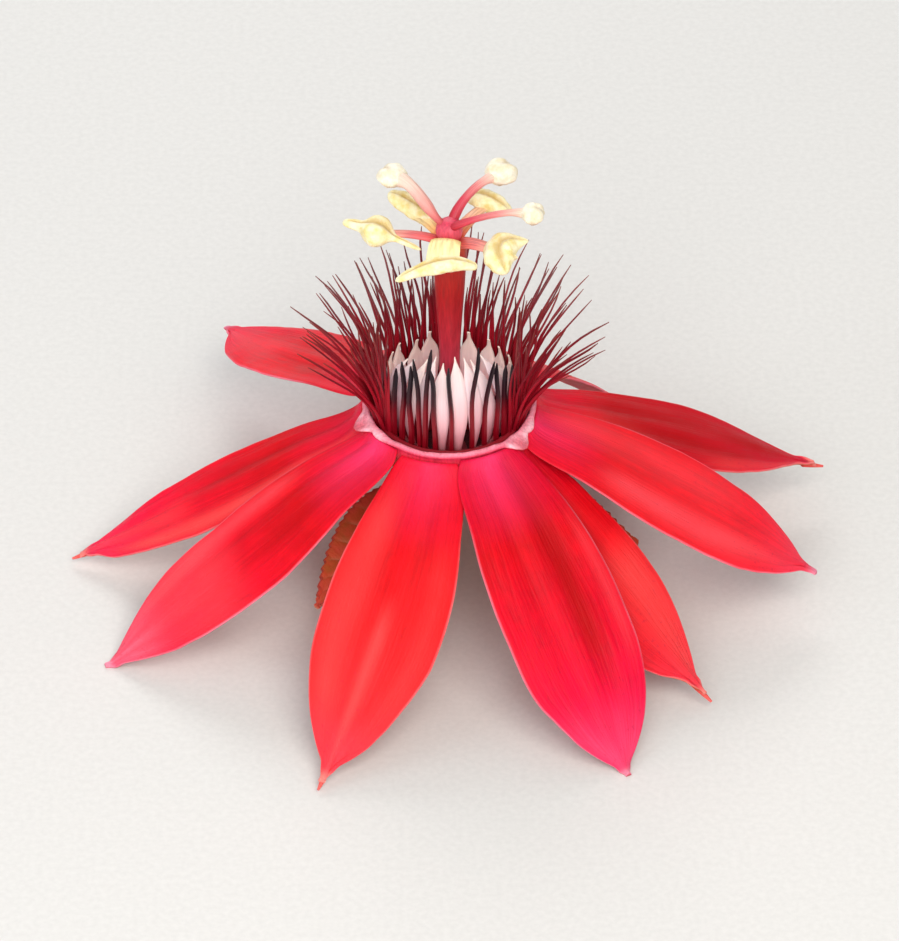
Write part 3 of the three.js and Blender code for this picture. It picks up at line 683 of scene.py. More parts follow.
def bract_tissue(look):
    """Leafy bract: thin leaf flushed orange-brown, with paler sunken veins.

    It gives the eye a dull, slightly rough leaf with a reddish toothed edge.
    """
    material, tree, place, read = new_material("bract_leaf", "vein", "edge", "under")
    # The flush lies in clouds 5.6 mm wide. The leaf's cells are drawn at 0.45 mm, because
    # their real 0.05 mm can't show.
    blush = add_node(tree, "TexNoise", {"Vector": place, "Scale": per(5.556),
                                        "Detail": 4.0, "Roughness": 0.6})
    colour = add_node(tree, "ValToRGB", {0: blush}, stops=[
        (0.3, "#c0622e"), (0.42, "#d85c38"), (0.56, look.bract_colour), (0.75, "#d4483c"),
    ])
    for key, tint in (("under", "#b0744a"), ("vein", "#d08a64"), ("edge", "#b03c34")):
        colour = add_node(tree, "Mix", {0: read[key], 6: colour, 7: linear(tint)},
                          data_type="RGBA").outputs[2]
    cells = add_node(tree, "TexNoise", {"Vector": place, "Scale": per(0.4545),
                                        "Detail": 2.0})
    bumps = add_node(tree, "Bump", {"Height": cells, "Strength": 0.35, "Distance": 0.3 * MM})
    skin = add_node(tree, "BsdfPrincipled", {
        "Base Color": colour, "Roughness": 0.58, "IOR": 1.4, "Subsurface Weight": 0.12,
        "Subsurface Radius": (1.0, 0.6, 0.3), "Subsurface Scale": 1.0 * MM, "Normal": bumps,
    })
    add_node(tree, "OutputMaterial", {"Surface": skin})
    return material


def floor_paint(look):
    """Studio paper: pale and matt to the eye, with a faint tooth.

    The tooth is drawn at 1.1 mm, because that of real paper is too fine to show.
    """
    material, tree, place, _ = new_material("studio_paper")
    tooth = add_node(tree, "TexNoise", {"Vector": place, "Scale": per(1.11)})
    ramp = add_node(tree, "ValToRGB", {0: tooth}, stops=[
        (0.3, "#d6d4d0"), (0.7, look.floor_colour),
    ])
    paper = add_node(tree, "BsdfPrincipled", {"Base Color": ramp, "Roughness": 0.9})
    add_node(tree, "OutputMaterial", {"Surface": paper})
    return material


# ---- Sepals and petals ----------------------------------------------------------------


def half_width(shape, across, along, seed):
    """Half width of a blade, on one side of its midrib."""
    if along < BLADE_WIDEST:
        opened = max(math.sin(math.pi * max(along, 0)), 0) ** BLADE_OPENING
        half = shape["half"] * mix(BASE_SHARE, 1, opened)
    else:
        closed = min((along - BLADE_WIDEST) / TIP_FROM_WIDEST, 1)
        half = shape["half"] * mix(1, TIP_SHARE, closed ** shape.get("blunt", USUAL_BLUNT))
    if across > 0:
        half *= 1 + shape.get("wide", 0) * hump(along, 0.42, 0.3)
    half = max(half, mix(TIP_HALF, LEAST_HALF, smooth(0.95, 1.0, along)))
    return half * (1 + 0.018 * waver(along * 9, 3.0 if across > 0 else -3.0, seed) * along)


def relief(across, along, seed, look):
    """Height of a blade's ribs, furrows, waves and dimples at one place."""
    edge = abs(across)
    fade = 1 - smooth(0.3, 0.9, along)
    shift = 0.08 * math.sin(seed * 2.0)
    rib = look.rib_height / MM * (hump(across, shift, 0.14) * mix(0.3, 1, fade)
                                  + 0.5 * hump(edge, 0.62, 0.14) * fade)
    left, right = 0.6 + 0.5 * math.sin(seed * 3.0), 0.6 + 0.5 * math.cos(seed * 5.0)
    furrow = look.furrow_depth / MM * fade * (left * hump(across, shift - 0.3, 0.13)
                                              + right * hump(across, shift + 0.3, 0.13))
    curl = look.edge_wave / MM * edge ** 3 * waver(along * 6, across * 1.5, seed + 5)
    frill = 0.28 * edge ** 6 * waver(along * 26, 4.0 if across > 0 else -4.0, seed + 9)
    pucker = 0.3 * waver(along * 5, across * 3, seed + 2) * smooth(0.1, 0.4, along)
    hood = 0.5 * across * across * smooth(0.86, 1.0, along)
    return (rib - furrow) * smooth(0.0, 0.06, along) + (curl + frill + hood) * along + pucker


def tepal_point(shape, top, across, along, seed, look):
    """Place on the lower face of a blade, in millimetres from the rim."""
    start = CUP_RADIUS + 0.3
    base = polar(start, shape["base"])
    span = polar(shape["reach"], shape["tip"]) - base
    sideways = Vector((-span.y, span.x, 0)).normalized()
    half = half_width(shape, across, along, seed)
    aside = across * half + shape["bow"] * math.sin(math.pi * max(along, 0))
    straight = base + span * along + sideways * aside
    inward = start + min(along, 0) * span.length
    around = polar(inward, shape["base"] + math.degrees(aside / start))
    place = straight.lerp(around, min(max(0, 1 - along / BASE_FIT), 1) ** 2)

    foot = shape["drop"] == RIM_HEIGHT
    fallen = min(along / FOOT_FROM, 1) if foot else along
    fall = mix(fallen, fallen * fallen, shape["arch"])
    low = mix(top - BLADE_MIDDLE, -shape["drop"], fall)
    if top == SEPAL_TOP:
        low += SEPAL_BASE_LIFT * (1 - smooth(0.0, 0.14, along))
    channel = CHANNEL * half * across * across * min(along / CHANNEL_FROM, 1)
    ripple = RIPPLE * math.sin(along * RIPPLE_ALONG + across * RIPPLE_ACROSS)
    ripple *= abs(across) * along
    tilt = aside * math.tan(math.radians(shape["roll"])) * min(along * 2, 1)
    raised = channel + ripple + tilt + relief(across, along, seed, look)
    flat = smooth(FOOT_FLATTENS_FROM, FOOT_FROM, along) if foot else 0
    return place + UP * (low + raised * (1 - flat))


def tepal(name, node, shape, top, seed, slot, material, look):
    """One sepal or petal: a grid laid out as the blade, given thickness and smoothed."""
    deselect()
    bpy.ops.mesh.primitive_grid_add(x_subdivisions=BLADE_COLUMNS, y_subdivisions=BLADE_ROWS,
                                    size=2)
    blade = bpy.context.active_object
    mesh = blade.data
    across = [-vertex.co.x for vertex in mesh.vertices]
    along = [1 - ((1 - vertex.co.y) / 2) ** ROW_CROWDING for vertex in mesh.vertices]
    body = blade.vertex_groups.new(name="body")
    for vertex, side, share in zip(mesh.vertices, across, along):
        body.add([vertex.index], mix(1.0, EDGE_THICKNESS, abs(side) ** 1.6), "REPLACE")
        vertex.co = to_frame(
            tepal_point(shape, top, side, mix(-ROOT_DEPTH, 1, share), seed, look)
        )
    mark(mesh, "across", across)
    mark(mesh, "along", along)
    count = len(mesh.vertices)
    apply(blade, "SOLIDIFY", thickness=look.thickness, offset=1, vertex_group="body",
          thickness_vertex_group=0.0, use_even_offset=False)
    mark(mesh, "under", [0.0 if i < count else 1.0 for i in range(len(mesh.vertices))])
    apply(blade, "SUBSURF", levels=1, render_levels=1)
    paint_tepal(mesh, shape, seed)
    turn_outwards(blade)
    if slot == "sepal":
        blade = joined([blade, awn(shape, top, seed, look)])
    finish(blade, name, [node], material, angle=75)


def bands(places, across, along):
    """Strength of a tepal's dark or light bands at one place of the blade."""
    total = 0.0
    for middle, width, start, end, strength in places:
        length = smooth(start - 0.1, start + 0.06, along)
        length *= 1 - smooth(end - 0.14, end + 0.1, along)
        total += strength * hump(across, middle, width) * length
    return min(total, 1.0)


def paint_tepal(mesh, shape, seed):
    """Marks where the blade is pink, dark or light, pale at the edge and at the tip."""
    across, along = marks(mesh, "across"), marks(mesh, "along")
    pink, furrow, light, edge, tip = [], [], [], [], []
    for side, share in zip(across, along):
        away = abs(side)
        cloud = 0.5 + 0.5 * waver(share * 7, side * 3, seed + 20)
        base = hump(side, 0.1 * math.sin(seed), 0.6) * (1 - smooth(0.03, 0.3, share))
        end = smooth(0.72, 0.96, share) * mix(0.5, 1, cloud)
        pink.append(min(1, shape["pink"] * base * mix(0.7, 1, cloud) + shape["blush"] * end))
        # Painted shade in the grooves beside the midrib, fading towards the tip.
        grooves = 0.3 * hump(away, 0.3, 0.14) * (1 - smooth(0.3, 0.7, share))
        # The furrow mark holds the dark bands, sap red and painted shade, and the painted shade of
        # the grooves.
        furrow.append(min(1, bands(shape["dark"], side, share) * mix(0.7, 1.05, cloud)
                          + grooves) * smooth(0.0, 0.05, share))
        # The light mark holds the light bands: paler coral and painted highlights.
        light.append(bands(shape["light"], side, share) * mix(0.65, 1.05, cloud))
        edge.append(0.5 * smooth(0.965, 1.0, away) * mix(0.3, 1, cloud)
                    * smooth(0.12, 0.3, share))
        tip.append(min(1, 0.8 * smooth(0.955, 0.995, share)
                       + shape.get("pale", USUAL_PALE) * smooth(0.76, 0.97, share) * cloud * 1.6))
    for key, values in (("pink", pink), ("furrow", furrow), ("light", light), ("edge", edge),
                        ("tip", tip)):
        mark(mesh, key, values)
    mark(mesh, "tone", [shape["tone"]] * len(across))


def awn(shape, top, seed, look):
    """Short point just under a sepal's tip, marked as the blade is."""
    rod = straight_rod(8, 6)
    end = tepal_point(shape, top, 0, 1.0, seed, look)
    back = tepal_point(shape, top, 0, AWN_FROM, seed, look)
    ahead = (end - back).normalized()
    lift = 0.45 if shape["drop"] == RIM_HEIGHT else 0.15

    def path(share):
        return back + ahead * (share * AWN_LENGTH) + UP * (lift + 0.3 * share * share)

    point = bent(rod, path, lambda share: (mix(0.85, 0.22, share), mix(0.55, 0.2, share)))
    shares = marks(point.data, "along")
    mark(point.data, "light", [0.4] * len(shares))
    mark(point.data, "under", [mix(0.1, 0.55, share) for share in shares])
    mark(point.data, "edge", [0.25 * share for share in shares])
    mark(point.data, "tone", [1.0] * len(shares))
    remove(rod)
    return point


# ---- Cup, pedicel and bracts ----------------------------------------------------------


def lip_spread(azimuth):
    """How far the lip's fleshy corners reach out at an azimuth."""
    reach = 0.0
    for middle, length in LIP_CORNERS:
        aside = abs((azimuth - middle + 180) % 360 - 180)
        reach = max(reach, length * (1 - smooth(0, LIP_CORNER_HALF, aside)) ** 1.1)
    return reach


def floral_cup(look):
    """The cup: a disc extruded up its wall, over the lip and down the ribbed outside."""
    cup = turned(CUP_PROFILE, CUP_SIDES)
    inside, corner = [], []
    for vertex in cup.data.vertices:
        point, angle = from_frame(vertex)
        radius = math.hypot(point.x, point.y)
        way = Vector((point.x, point.y, 0)) / radius if radius > 0.1 else Vector()
        # The lip wavers, and spreads into corners on its outer half.
        outer = smooth(14.5, 15.0, radius) if point.z > -1 else 0.0
        spread = lip_spread(math.degrees(angle)) * outer
        lip = smooth(-1.0, 0.3, point.z) * smooth(13.4, 14.4, radius)
        wobble = (0.3 * noise.noise(way * 4.0) + 0.14 * noise.noise(way * 14.0)) * lip
        # Ribs run down the outside only.
        hollow = radius <= 12.5 and point.z >= -10.4
        ribbed = 0.0 if hollow else smooth(-2, -6, point.z) * smooth(4.0, 8.0, radius)
        grown = radius + spread * hump(point.z, 0.0, 0.55)
        grown += RIB_HEIGHT * math.cos(angle * CUP_RIBS) * ribbed
        grown += 0.3 * noise.noise(way * 5.0 + UP * 3) * lip
        scale = grown / max(radius, 1e-6)
        height = point.z + wobble - LIP_CORNER_DROOP * spread
        vertex.co = to_frame(Vector((point.x * scale, point.y * scale, height)))
        # The inside ends halfway between the two faces of the wall.
        between = min(13.85 + 0.1 * point.z, 15.3 + min(0.0, point.z + 2.5) * 0.62)
        within = radius < between and point.z > CUP_FLOOR - 0.1
        inside.append(1.0 - smooth(-0.9, 0.2, point.z) if within else 0.0)
        share = spread / FULL_CORNER
        corner.append(smooth(0.0, 0.25, share) * (1 - 0.75 * smooth(0.35, 1.0, share))
                      * smooth(-0.7, 0.0, point.z))
    mark(cup.data, "inside", inside)
    mark(cup.data, "corner", corner)
    finish(cup, "cup_flesh", ["floral_cup"], cup_tissue(look), angle=80)


def pedicel():
    """The stalk: a rod bent backwards, with a thick top and a joint below it."""
    rod = straight_rod(24, 22)

    def path(share):
        return Vector((0, PEDICEL_BEND * share ** 3, mix(PEDICEL_TOP, PEDICEL_END, share)))

    def size(share):
        radius = mix(3.1, 2.05, min(share / 0.1, 1)) + 0.5 * hump(share, 0.2, 0.06)
        return radius, radius

    stalk = bent(rod, path, size, sideways=lambda share: Vector((1, 0, 0)))
    remove(rod)
    green = strand_tissue(
        "green_stalk",
        [(0.0, "#9a6a3a"), (0.12, "#8f8a3e"), (0.5, "#73862f"), (0.985, "#6f8433"),
         (1.0, "#c9cc94")],
        [(0.0, "#9a6a3a"), (1.0, "#6f8433")], rough=0.5, grain=0.5,
    )
    finish(stalk, "stalk", ["pedicel"], green, angle=50)


def bract_point(azimuth, across, along):
    """Place on the lower face of a bract, in millimetres from the rim."""
    swell = max(math.sin(math.pi * along ** 0.72), 0) ** 0.85
    tooth = (along * BRACT_TEETH) % 1.0
    toothed = smooth(0.08, 0.2, along) * (1 - smooth(0.93, 0.99, along))
    half = max(mix(1.7, 0.35, along), BRACT_HALF * swell)
    edge = abs(across)
    side = 1 if across > 0 else -1
    ragged = 0.45 + 0.5 * waver(along * 9, side * 5.0, azimuth)
    half += toothed * (tooth - 0.5) * ragged * edge ** 6
    veins = vein_mark(across, along)
    cupped = 0.28 * half * across * across
    low = BRACT_HEIGHT - BRACT_DROP * along + BRACT_LIFT * along * along
    wave = 0.5 * waver(along * 4, across * 2, azimuth) * edge
    outward, aside = polar(1, azimuth), polar(1, azimuth + 90)
    return (outward * mix(BRACT_START, BRACT_REACH, along) + aside * across * half
            + UP * (low + cupped + wave - 0.35 * veins))


def vein_mark(across, along):
    """1 on the midrib and on the side veins that slant towards the tip."""
    edge = abs(across)
    place = (along - 0.17 * edge) * BRACT_VEINS
    side = hump(place, round(place), 0.09) * (1 - smooth(0.75, 1.0, edge))
    return max(hump(edge, 0, 0.05), side * smooth(0.03, 0.1, along))


def bract(number, azimuth, material):
    """One bract: a grid laid out as a toothed leaf, given thickness."""
    deselect()
    bpy.ops.mesh.primitive_grid_add(x_subdivisions=BRACT_COLUMNS, y_subdivisions=BRACT_ROWS,
                                    size=2)
    leaf = bpy.context.active_object
    mesh = leaf.data
    across = [-vertex.co.x for vertex in mesh.vertices]
    along = [(1 + vertex.co.y) / 2 for vertex in mesh.vertices]
    for vertex, side, share in zip(mesh.vertices, across, along):
        vertex.co = to_frame(bract_point(azimuth, side, share))
    mark(mesh, "vein", [0.7 * vein_mark(s, a) for s, a in zip(across, along)])
    mark(mesh, "edge", [0.8 * smooth(0.93, 1.0, abs(side)) for side in across])
    count = len(mesh.vertices)
    apply(leaf, "SOLIDIFY", thickness=BRACT_THICKNESS * MM, offset=1)
    mark(mesh, "under", [0.0 if i < count else 1.0 for i in range(len(mesh.vertices))])
    turn_outwards(leaf)
    finish(leaf, f"bract_leaf_{number}", [f"bract_{number}"], material)


# ---- Coronas --------------------------------------------------------------------------


def filament(rod, radius, azimuth, rise, lean, swing, wave, thick, draw, blunt=False):
    """One thread of the outer corona: it rises from the collar and leans out."""
    phase = draw.uniform(0, 6.28)
    turns = draw.uniform(4, 9)

    def path(share):
        out = radius + lean * share ** 1.7 + wave * share * share * math.sin(phase + share * turns)
        drift = swing * share * share + 3.2 * wave * share * math.sin(phase * 2 + share * turns)
        height = mix(FILAMENT_ROOT, rise, share)
        return polar(out, azimuth + drift * 12 / out, height)

    def size(share):
        if blunt:
            width = thick * mix(1.1, 0.85, share) * (1 - 0.65 * smooth(0.92, 1.0, share))
        else:
            width = thick * mix(1.0, 0.3, share ** 0.7) * (1 - 0.5 * smooth(0.9, 1.0, share))
        return width, width

    return bent(rod, path, size, lambda share: polar(1, azimuth + 90), draw.uniform(0, 0.4))


def outer_corona(look):
    """The fringe: spreading and erect threads, and darker ones in front of the barrel."""
    draw = random.Random(11)
    rod = straight_rod(5, 10)
    threads = []
    back = 360 - FRONT_OPENING
    for i in range(look.spreading):
        azimuth = 90 + back * ((i + draw.uniform(0.1, 0.9)) / look.spreading - 0.5)
        out = draw.uniform(0, 1) ** 0.8
        threads.append(filament(rod, mix(12.3, 13.3, out), azimuth, draw.uniform(14.5, 19.5),
                                mix(2.0, 15.0, out), draw.uniform(-9, 9),
                                draw.uniform(0.3, 0.9), draw.uniform(0.4, 0.56), draw))
    for i in range(look.erect):
        azimuth = 90 + (back + 14) * ((i + draw.uniform(0.1, 0.9)) / look.erect - 0.5)
        threads.append(filament(rod, draw.uniform(12.2, 12.7), azimuth, draw.uniform(14, 20.5),
                                draw.uniform(0.0, 2.4), draw.uniform(-5, 5),
                                draw.uniform(0.2, 0.6), draw.uniform(0.42, 0.58), draw))
    for azimuth, rise, swing, lean in FRONT_FILAMENTS:
        thread = filament(rod, 12.0, azimuth, rise, lean, swing, 0.5, draw.uniform(0.44, 0.56),
                          draw, blunt=True)
        mark(thread.data, "tone", [1.0] * len(thread.data.vertices))
        threads.append(thread)
    remove(rod)
    collar = turned(COLLAR_PROFILE, 72, closed=True)
    mark(collar.data, "along", [0.05] * len(collar.data.vertices))
    mark(collar.data, "tone", [0.2] * len(collar.data.vertices))
    fringe = joined([collar] + threads)
    maroon = strand_tissue(
        "maroon_threads",
        [(0.0, "#7c0416"), (0.25, "#94081c"), (0.55, look.thread_colour), (0.8, "#841a26"),
         (1.0, "#84362e")],
        [(0.0, "#74020f"), (0.4, "#7a0416"), (0.6, "#340612"), (0.8, look.dark_end_colour),
         (1.0, "#1c0a14")],
        rough=0.36, grain=0.3,
    )
    finish(fringe, "outer_fringe", ["outer_corona"], maroon, angle=50)


def horned(share):
    """How much a strip with a narrow horn at its tip has narrowed."""
    return 0.9 * smooth(0.64, 0.92, share) ** 1.2


def pointed(share):
    """How much a strip with a plain point has narrowed."""
    return smooth(0.76, 1.0, share) ** 1.5


def inner_corona(look):
    """The barrel: a short tube and its strips, low and horned at the back."""
    draw = random.Random(5)
    rod = straight_rod(12, 18)
    strips = []
    for i in range(look.strips):
        azimuth = FIRST_STRIP + 360 / look.strips * i + draw.uniform(-0.9, 0.9)
        back = math.sin(math.radians(azimuth))
        if back > -0.2:
            end = mix(0.6, 0.64, smooth(-0.2, 0.6, back)) + draw.uniform(-0.035, 0.035)
            # Back strips take the brighter colouring in full: painted light, for the light that
            # shines through them.
            flare, shade, thick = draw.uniform(0.7, 1.3), 1.0, 0.45
            taper = horned
        else:
            end = mix(0.8, 0.95, smooth(0.2, 0.9, -back)) + draw.uniform(-0.04, 0.04)
            # Front strips lean to the duller colouring: painted shade that keeps their lit faces
            # below white.
            flare, shade, thick = draw.uniform(0.0, 0.3), draw.uniform(0.0, 0.6), 0.42
            taper = pointed
        swing = draw.uniform(-4, 4)
        fill = draw.uniform(0.95, 1.06)

        def trace(share):
            radius, height = spline(BARREL_PROFILE, mix(STRIP_START, end, share))
            out = flare * smooth(0.3, 1.0, share)
            return radius + out, height + 0.1 * out

        def path(share):
            radius, height = trace(share)
            return polar(radius, azimuth + swing * share * share, height)

        def size(share):
            pitch = 2 * math.pi * trace(share)[0] / look.strips
            body = mix(0.38, 1.0, smooth(0.1, 0.6, share))
            width = fill * pitch / 2 * body * (1 - 0.9 * taper(share))
            return width, mix(thick, 0.14, smooth(0.75, 1.0, share))

        strips.append(bent(rod, path, size, lambda share: polar(1, azimuth + 90), shade))
    remove(rod)
    wall = [spline(BARREL_PROFILE, TUBE_END * i / TUBE_STEPS) for i in range(TUBE_STEPS + 1)]
    tube = [(r + TUBE_HALF_WALL, z) for r, z in wall]
    tube += [(r - TUBE_HALF_WALL, z) for r, z in reversed(wall)]
    base = turned(tube, 60, closed=True)
    mark(base.data, "along", [0.0] * len(base.data.vertices))
    mark(base.data, "tone", [0.0] * len(base.data.vertices))
    barrel = joined([base] + strips)
    # The first colouring is the duller white of the front strips and the second the brighter white
    # of the back ones: painted shade and painted light on one tissue.
    white = strand_tissue(
        "white_strips",
        [(0.0, "#8a1224"), (0.12, "#c8485a"), (0.3, "#de8494"), (0.48, "#e6aab6"),
         (0.66, look.strip_colour), (0.86, "#edd2da"), (1.0, "#efdcd4")],
        [(0.0, "#8a1224"), (0.1, "#e07a86"), (0.25, "#f8aeb4"), (0.42, "#ffccce"),
         (0.65, "#ffe2de"), (1.0, "#ffe8d8")],
        rough=0.5, grain=0.1, subsurface=0.25, depth=0.6,
    )
    finish(barrel, "white_barrel", ["inner_corona"], white)


# ---- Column, stamens and styles -------------------------------------------------------


def column(look):
    """The column: a disc extruded up its five-ribbed stem."""
    stem = turned(COLUMN_PROFILE, 40)
    low, high = COLUMN_PROFILE[0][1], COLUMN_PROFILE[-1][1]
    shares = []
    for vertex in stem.data.vertices:
        point, angle = from_frame(vertex)
        share = (point.z - low) / (high - low)
        scale = 1 + 0.045 * math.cos(5 * angle + 1.0) * smooth(0.1, 0.6, share)
        vertex.co = to_frame(Vector((point.x * scale, point.y * scale, point.z)))
        shares.append(min(max(share, 0), 1))
    mark(stem.data, "along", shares)
    mark(stem.data, "tone", [0.0] * len(shares))
    red = strand_tissue(
        "red_column",
        [(0.0, "#b4505e"), (0.4, "#c84054"), (0.55, "#b42634"), (0.75, look.column_colour),
         (0.93, "#ac1c0a"), (1.0, "#cc4c20")],
        [(0.0, "#b85a68"), (1.0, "#d63a20")], rough=0.4, grain=0.35, upright=True,
    )
    finish(stem, "red_column", ["column"], red)


def ovary(look):
    """The ovary: a small three-lobed pod."""
    pod = turned(OVARY_PROFILE, 32)
    low, high = OVARY_PROFILE[0][1], OVARY_PROFILE[-1][1]
    shares = []
    for vertex in pod.data.vertices:
        point, angle = from_frame(vertex)
        scale = 1 - 0.07 * abs(math.cos(1.5 * angle)) ** 6
        vertex.co = to_frame(Vector((point.x * scale, point.y * scale, point.z)))
        shares.append((point.z - low) / (high - low))
    mark(pod.data, "along", shares)
    mark(pod.data, "tone", [0.0] * len(shares))
    flesh = strand_tissue(
        "pink_ovary",
        [(0.0, "#d24442"), (0.4, look.ovary_colour), (1.0, "#d04058")],
        [(0.0, "#d24442"), (1.0, "#d04058")], rough=0.45, grain=0.35, upright=True,
    )
    finish(pod, "pink_ovary", ["ovary"], flesh, angle=70)


def stamen_filament(number, stamen, material):
    """Flat thread from the column's head to the underside of its anther."""
    rod = straight_rod(14, 14)
    root = polar(STAMEN_ROOT_RADIUS, stamen["root"], STAMEN_ROOT_HEIGHT)
    end = Vector(stamen["at"]) - UP * 0.5
    middle = root.lerp(end, 0.35) + UP * (0.4 + stamen["lift"])

    def path(share):
        return root * (1 - share) ** 2 + middle * 2 * share * (1 - share) + end * share ** 2

    def size(share):
        width = mix(stamen["width"][0], stamen["width"][1], share) / 2
        return width, mix(0.6, 0.4, share)

    aside = (end - root).cross(UP).normalized()
    across = polar(1, stamen["root"] - 90)
    thread = bent(rod, path, size, lambda share: across.lerp(aside, share), stamen["tint"])
    remove(rod)
    finish(thread, f"stamen_thread_{number}", [f"stamen_filament_{number}"],
           material)


def anther(number, stamen, material):
    """Two pollen sacs side by side: a ball drawn out into two arms, grooved and lumpy."""
    deselect()
    bpy.ops.mesh.primitive_uv_sphere_add(segments=44, ring_count=48, radius=1)
    sacs = bpy.context.active_object
    middle = Vector(stamen["at"])
    near, far = (middle + Vector(end) for end in stamen["ends"])
    bend = middle * 2 - (near + far) / 2
    thick, reach = stamen["body"]
    length = (far - near).length / 2
    painted_shades = []
    for vertex in sacs.data.vertices:
        place = math.asin(min(max(vertex.co.z, -1), 1)) / (math.pi / 2)
        angle = math.atan2(vertex.co.y, vertex.co.x)
        share = (place + 1) / 2
        centre = near * (1 - share) ** 2 + bend * 2 * share * (1 - share) + far * share ** 2
        ahead = ((bend - near) * (1 - share) + (far - bend) * share).normalized()
        aside = UP.cross(ahead).normalized()
        above = ahead.cross(aside)
        arm = stamen["arms"][0 if place < 0 else 1]
        swell = mix(arm, thick, math.exp(-abs(place * length / reach) ** 3.2))
        swell *= max(1 - abs(place) ** 5, 0) ** 0.5
        groove = hump(math.cos(angle), 0, 0.26) * (1 if math.sin(angle) > 0 else 0.6)
        lumps = 0.13 * noise.noise(Vector((place * 5, math.cos(angle) * 1.3,
                                           math.sin(angle) * 1.3 + number * 3.0)))
        wide = swell * 1.12 * math.cos(angle) * (1 + lumps)
        tall = swell * 0.9 * math.sin(angle) * (1 - 0.3 * groove) * (1 + lumps)
        vertex.co = to_frame(centre + aside * wide + above * tall)
        # Painted shade in the groove between the sacs.
        painted_shades.append(groove * 0.8 * (1 - abs(place) ** 3))
    mark(sacs.data, "painted_shade", painted_shades)
    turn_outwards(sacs)
    finish(sacs, f"pollen_sacs_{number}", [f"anther_{number}"], material, angle=75)


def style(number, shape, material):
    """Style: it leaves the ovary's crown, arches over and widens into its stigma."""
    rod = straight_rod(12, 20)
    slope = math.radians(STYLE_SLOPE)
    normal = polar(math.sin(slope), shape["root"], math.cos(slope))
    root = polar(STYLE_ROOT_RADIUS, shape["root"], STYLE_ROOT_HEIGHT)
    at = Vector(shape["at"])
    outward = Vector((at.x, at.y, 0)).normalized()
    end = at - outward * shape["knob"][0] * 0.6
    first = root + normal * 3.8
    second = end - outward * 3 + UP * 1.0

    def path(share):
        rest = 1 - share
        return (root * rest ** 3 + first * 3 * rest * rest * share
                + second * 3 * rest * share * share + end * share ** 3)

    def size(share):
        width = mix(shape["thick"][0], shape["thick"][1], smooth(0.1, 0.4, share))
        width += 0.35 * smooth(0.75, 1.0, share)
        return width, width * 0.9

    stem = bent(rod, path, size, tone=smooth(0.8, 1.1, shape["thick"][1]))
    remove(rod)
    finish(stem, f"style_stem_{number}", [f"style_{number}"], material)


def stigma(number, shape, material):
    """Stigma: a flattened knob with two lobes and a knobbly top."""
    deselect()
    bpy.ops.mesh.primitive_uv_sphere_add(segments=44, ring_count=32, radius=1)
    knob = bpy.context.active_object
    at = Vector(shape["at"])
    outward = Vector((at.x, at.y, 0)).normalized()
    aside = outward.cross(UP)
    width, height = shape["knob"]
    painted_shades = []
    for vertex in knob.data.vertices:
        way = vertex.co.copy()
        lobe = 1 - 0.2 * hump(way.x, 0, 0.3) * smooth(-0.6, 0.3, way.y)
        lump = 1 + 0.1 * noise.noise(way * 2.2 + Vector((number * 5.0, 0, 0)))
        under = mix(0.72, 1.0, smooth(-0.9, 0.1, way.z))
        vertex.co = to_frame(at + (aside * way.x * width * under
                                   + outward * way.y * width * 0.95 * under
                                   + UP * way.z * height) * lobe * lump)
        # Painted shade in the cleft between the lobes and under the knob.
        painted_shades.append(0.4 * hump(way.x, 0, 0.16) * smooth(-0.2, 0.5, way.y)
                     + 0.8 * smooth(0.0, -0.9, way.z))
    mark(knob.data, "painted_shade", painted_shades)
    turn_outwards(knob)
    finish(knob, f"stigma_knob_{number}", [f"stigma_{number}"], material, angle=75)


# ---- Stage ----------------------------------------------------------------------------


def area_light(name, place, size, power, colour):
    """A soft round light that shines on the flower."""
    deselect()
    bpy.ops.object.light_add(type="AREA", location=place)
    lamp = bpy.context.active_object
    lamp.name = name
    lamp.data.shape = "DISK"
    lamp.data.size = size
    lamp.data.energy = power
    lamp.data.color = linear(colour)[:3]
    lamp.rotation_euler = (LIGHTS_AIM - Vector(place)).to_track_quat("-Z", "Y").to_euler()


def studio(look):
    """Pale floor, soft light from above and a camera at the picture's angle."""
    deselect()
    bpy.ops.mesh.primitive_plane_add(size=6.0, location=(0, 0, 0))
    floor = bpy.context.active_object
    floor.name = floor.data.name = "studio_floor"
    floor.data.materials.append(floor_paint(look))

    for name, (place, size, power, colour) in LIGHTS.items():
        area_light(name, place, size, power, colour)

    world = bpy.data.worlds.new("studio_world")
    world.use_nodes = True
    bpy.context.scene.world = world
    world.node_tree.nodes.clear()
    sky = add_node(world.node_tree, "Background",
                   {"Color": linear("#eef1f5"), "Strength": 0.46})
    add_node(world.node_tree, "OutputWorld", {"Surface": sky})

    back = Vector((0, -math.cos(look.elevation), math.sin(look.elevation)))
    bpy.ops.object.camera_add(location=CAMERA_AIM + back * look.distance)
    camera = bpy.context.active_object
    camera.name = "studio_camera"
    camera.rotation_euler = (-back).to_track_quat("-Z", "Y").to_euler()
    camera.data.sensor_width = 36.0
    camera.data.lens = look.lens
    camera.data.clip_start = 0.01
    camera.data.clip_end = 20.0
    bpy.context.scene.camera = camera
    bpy.context.scene.view_settings.view_transform = "Standard"


# ---- Settings -------------------------------------------------------------------------


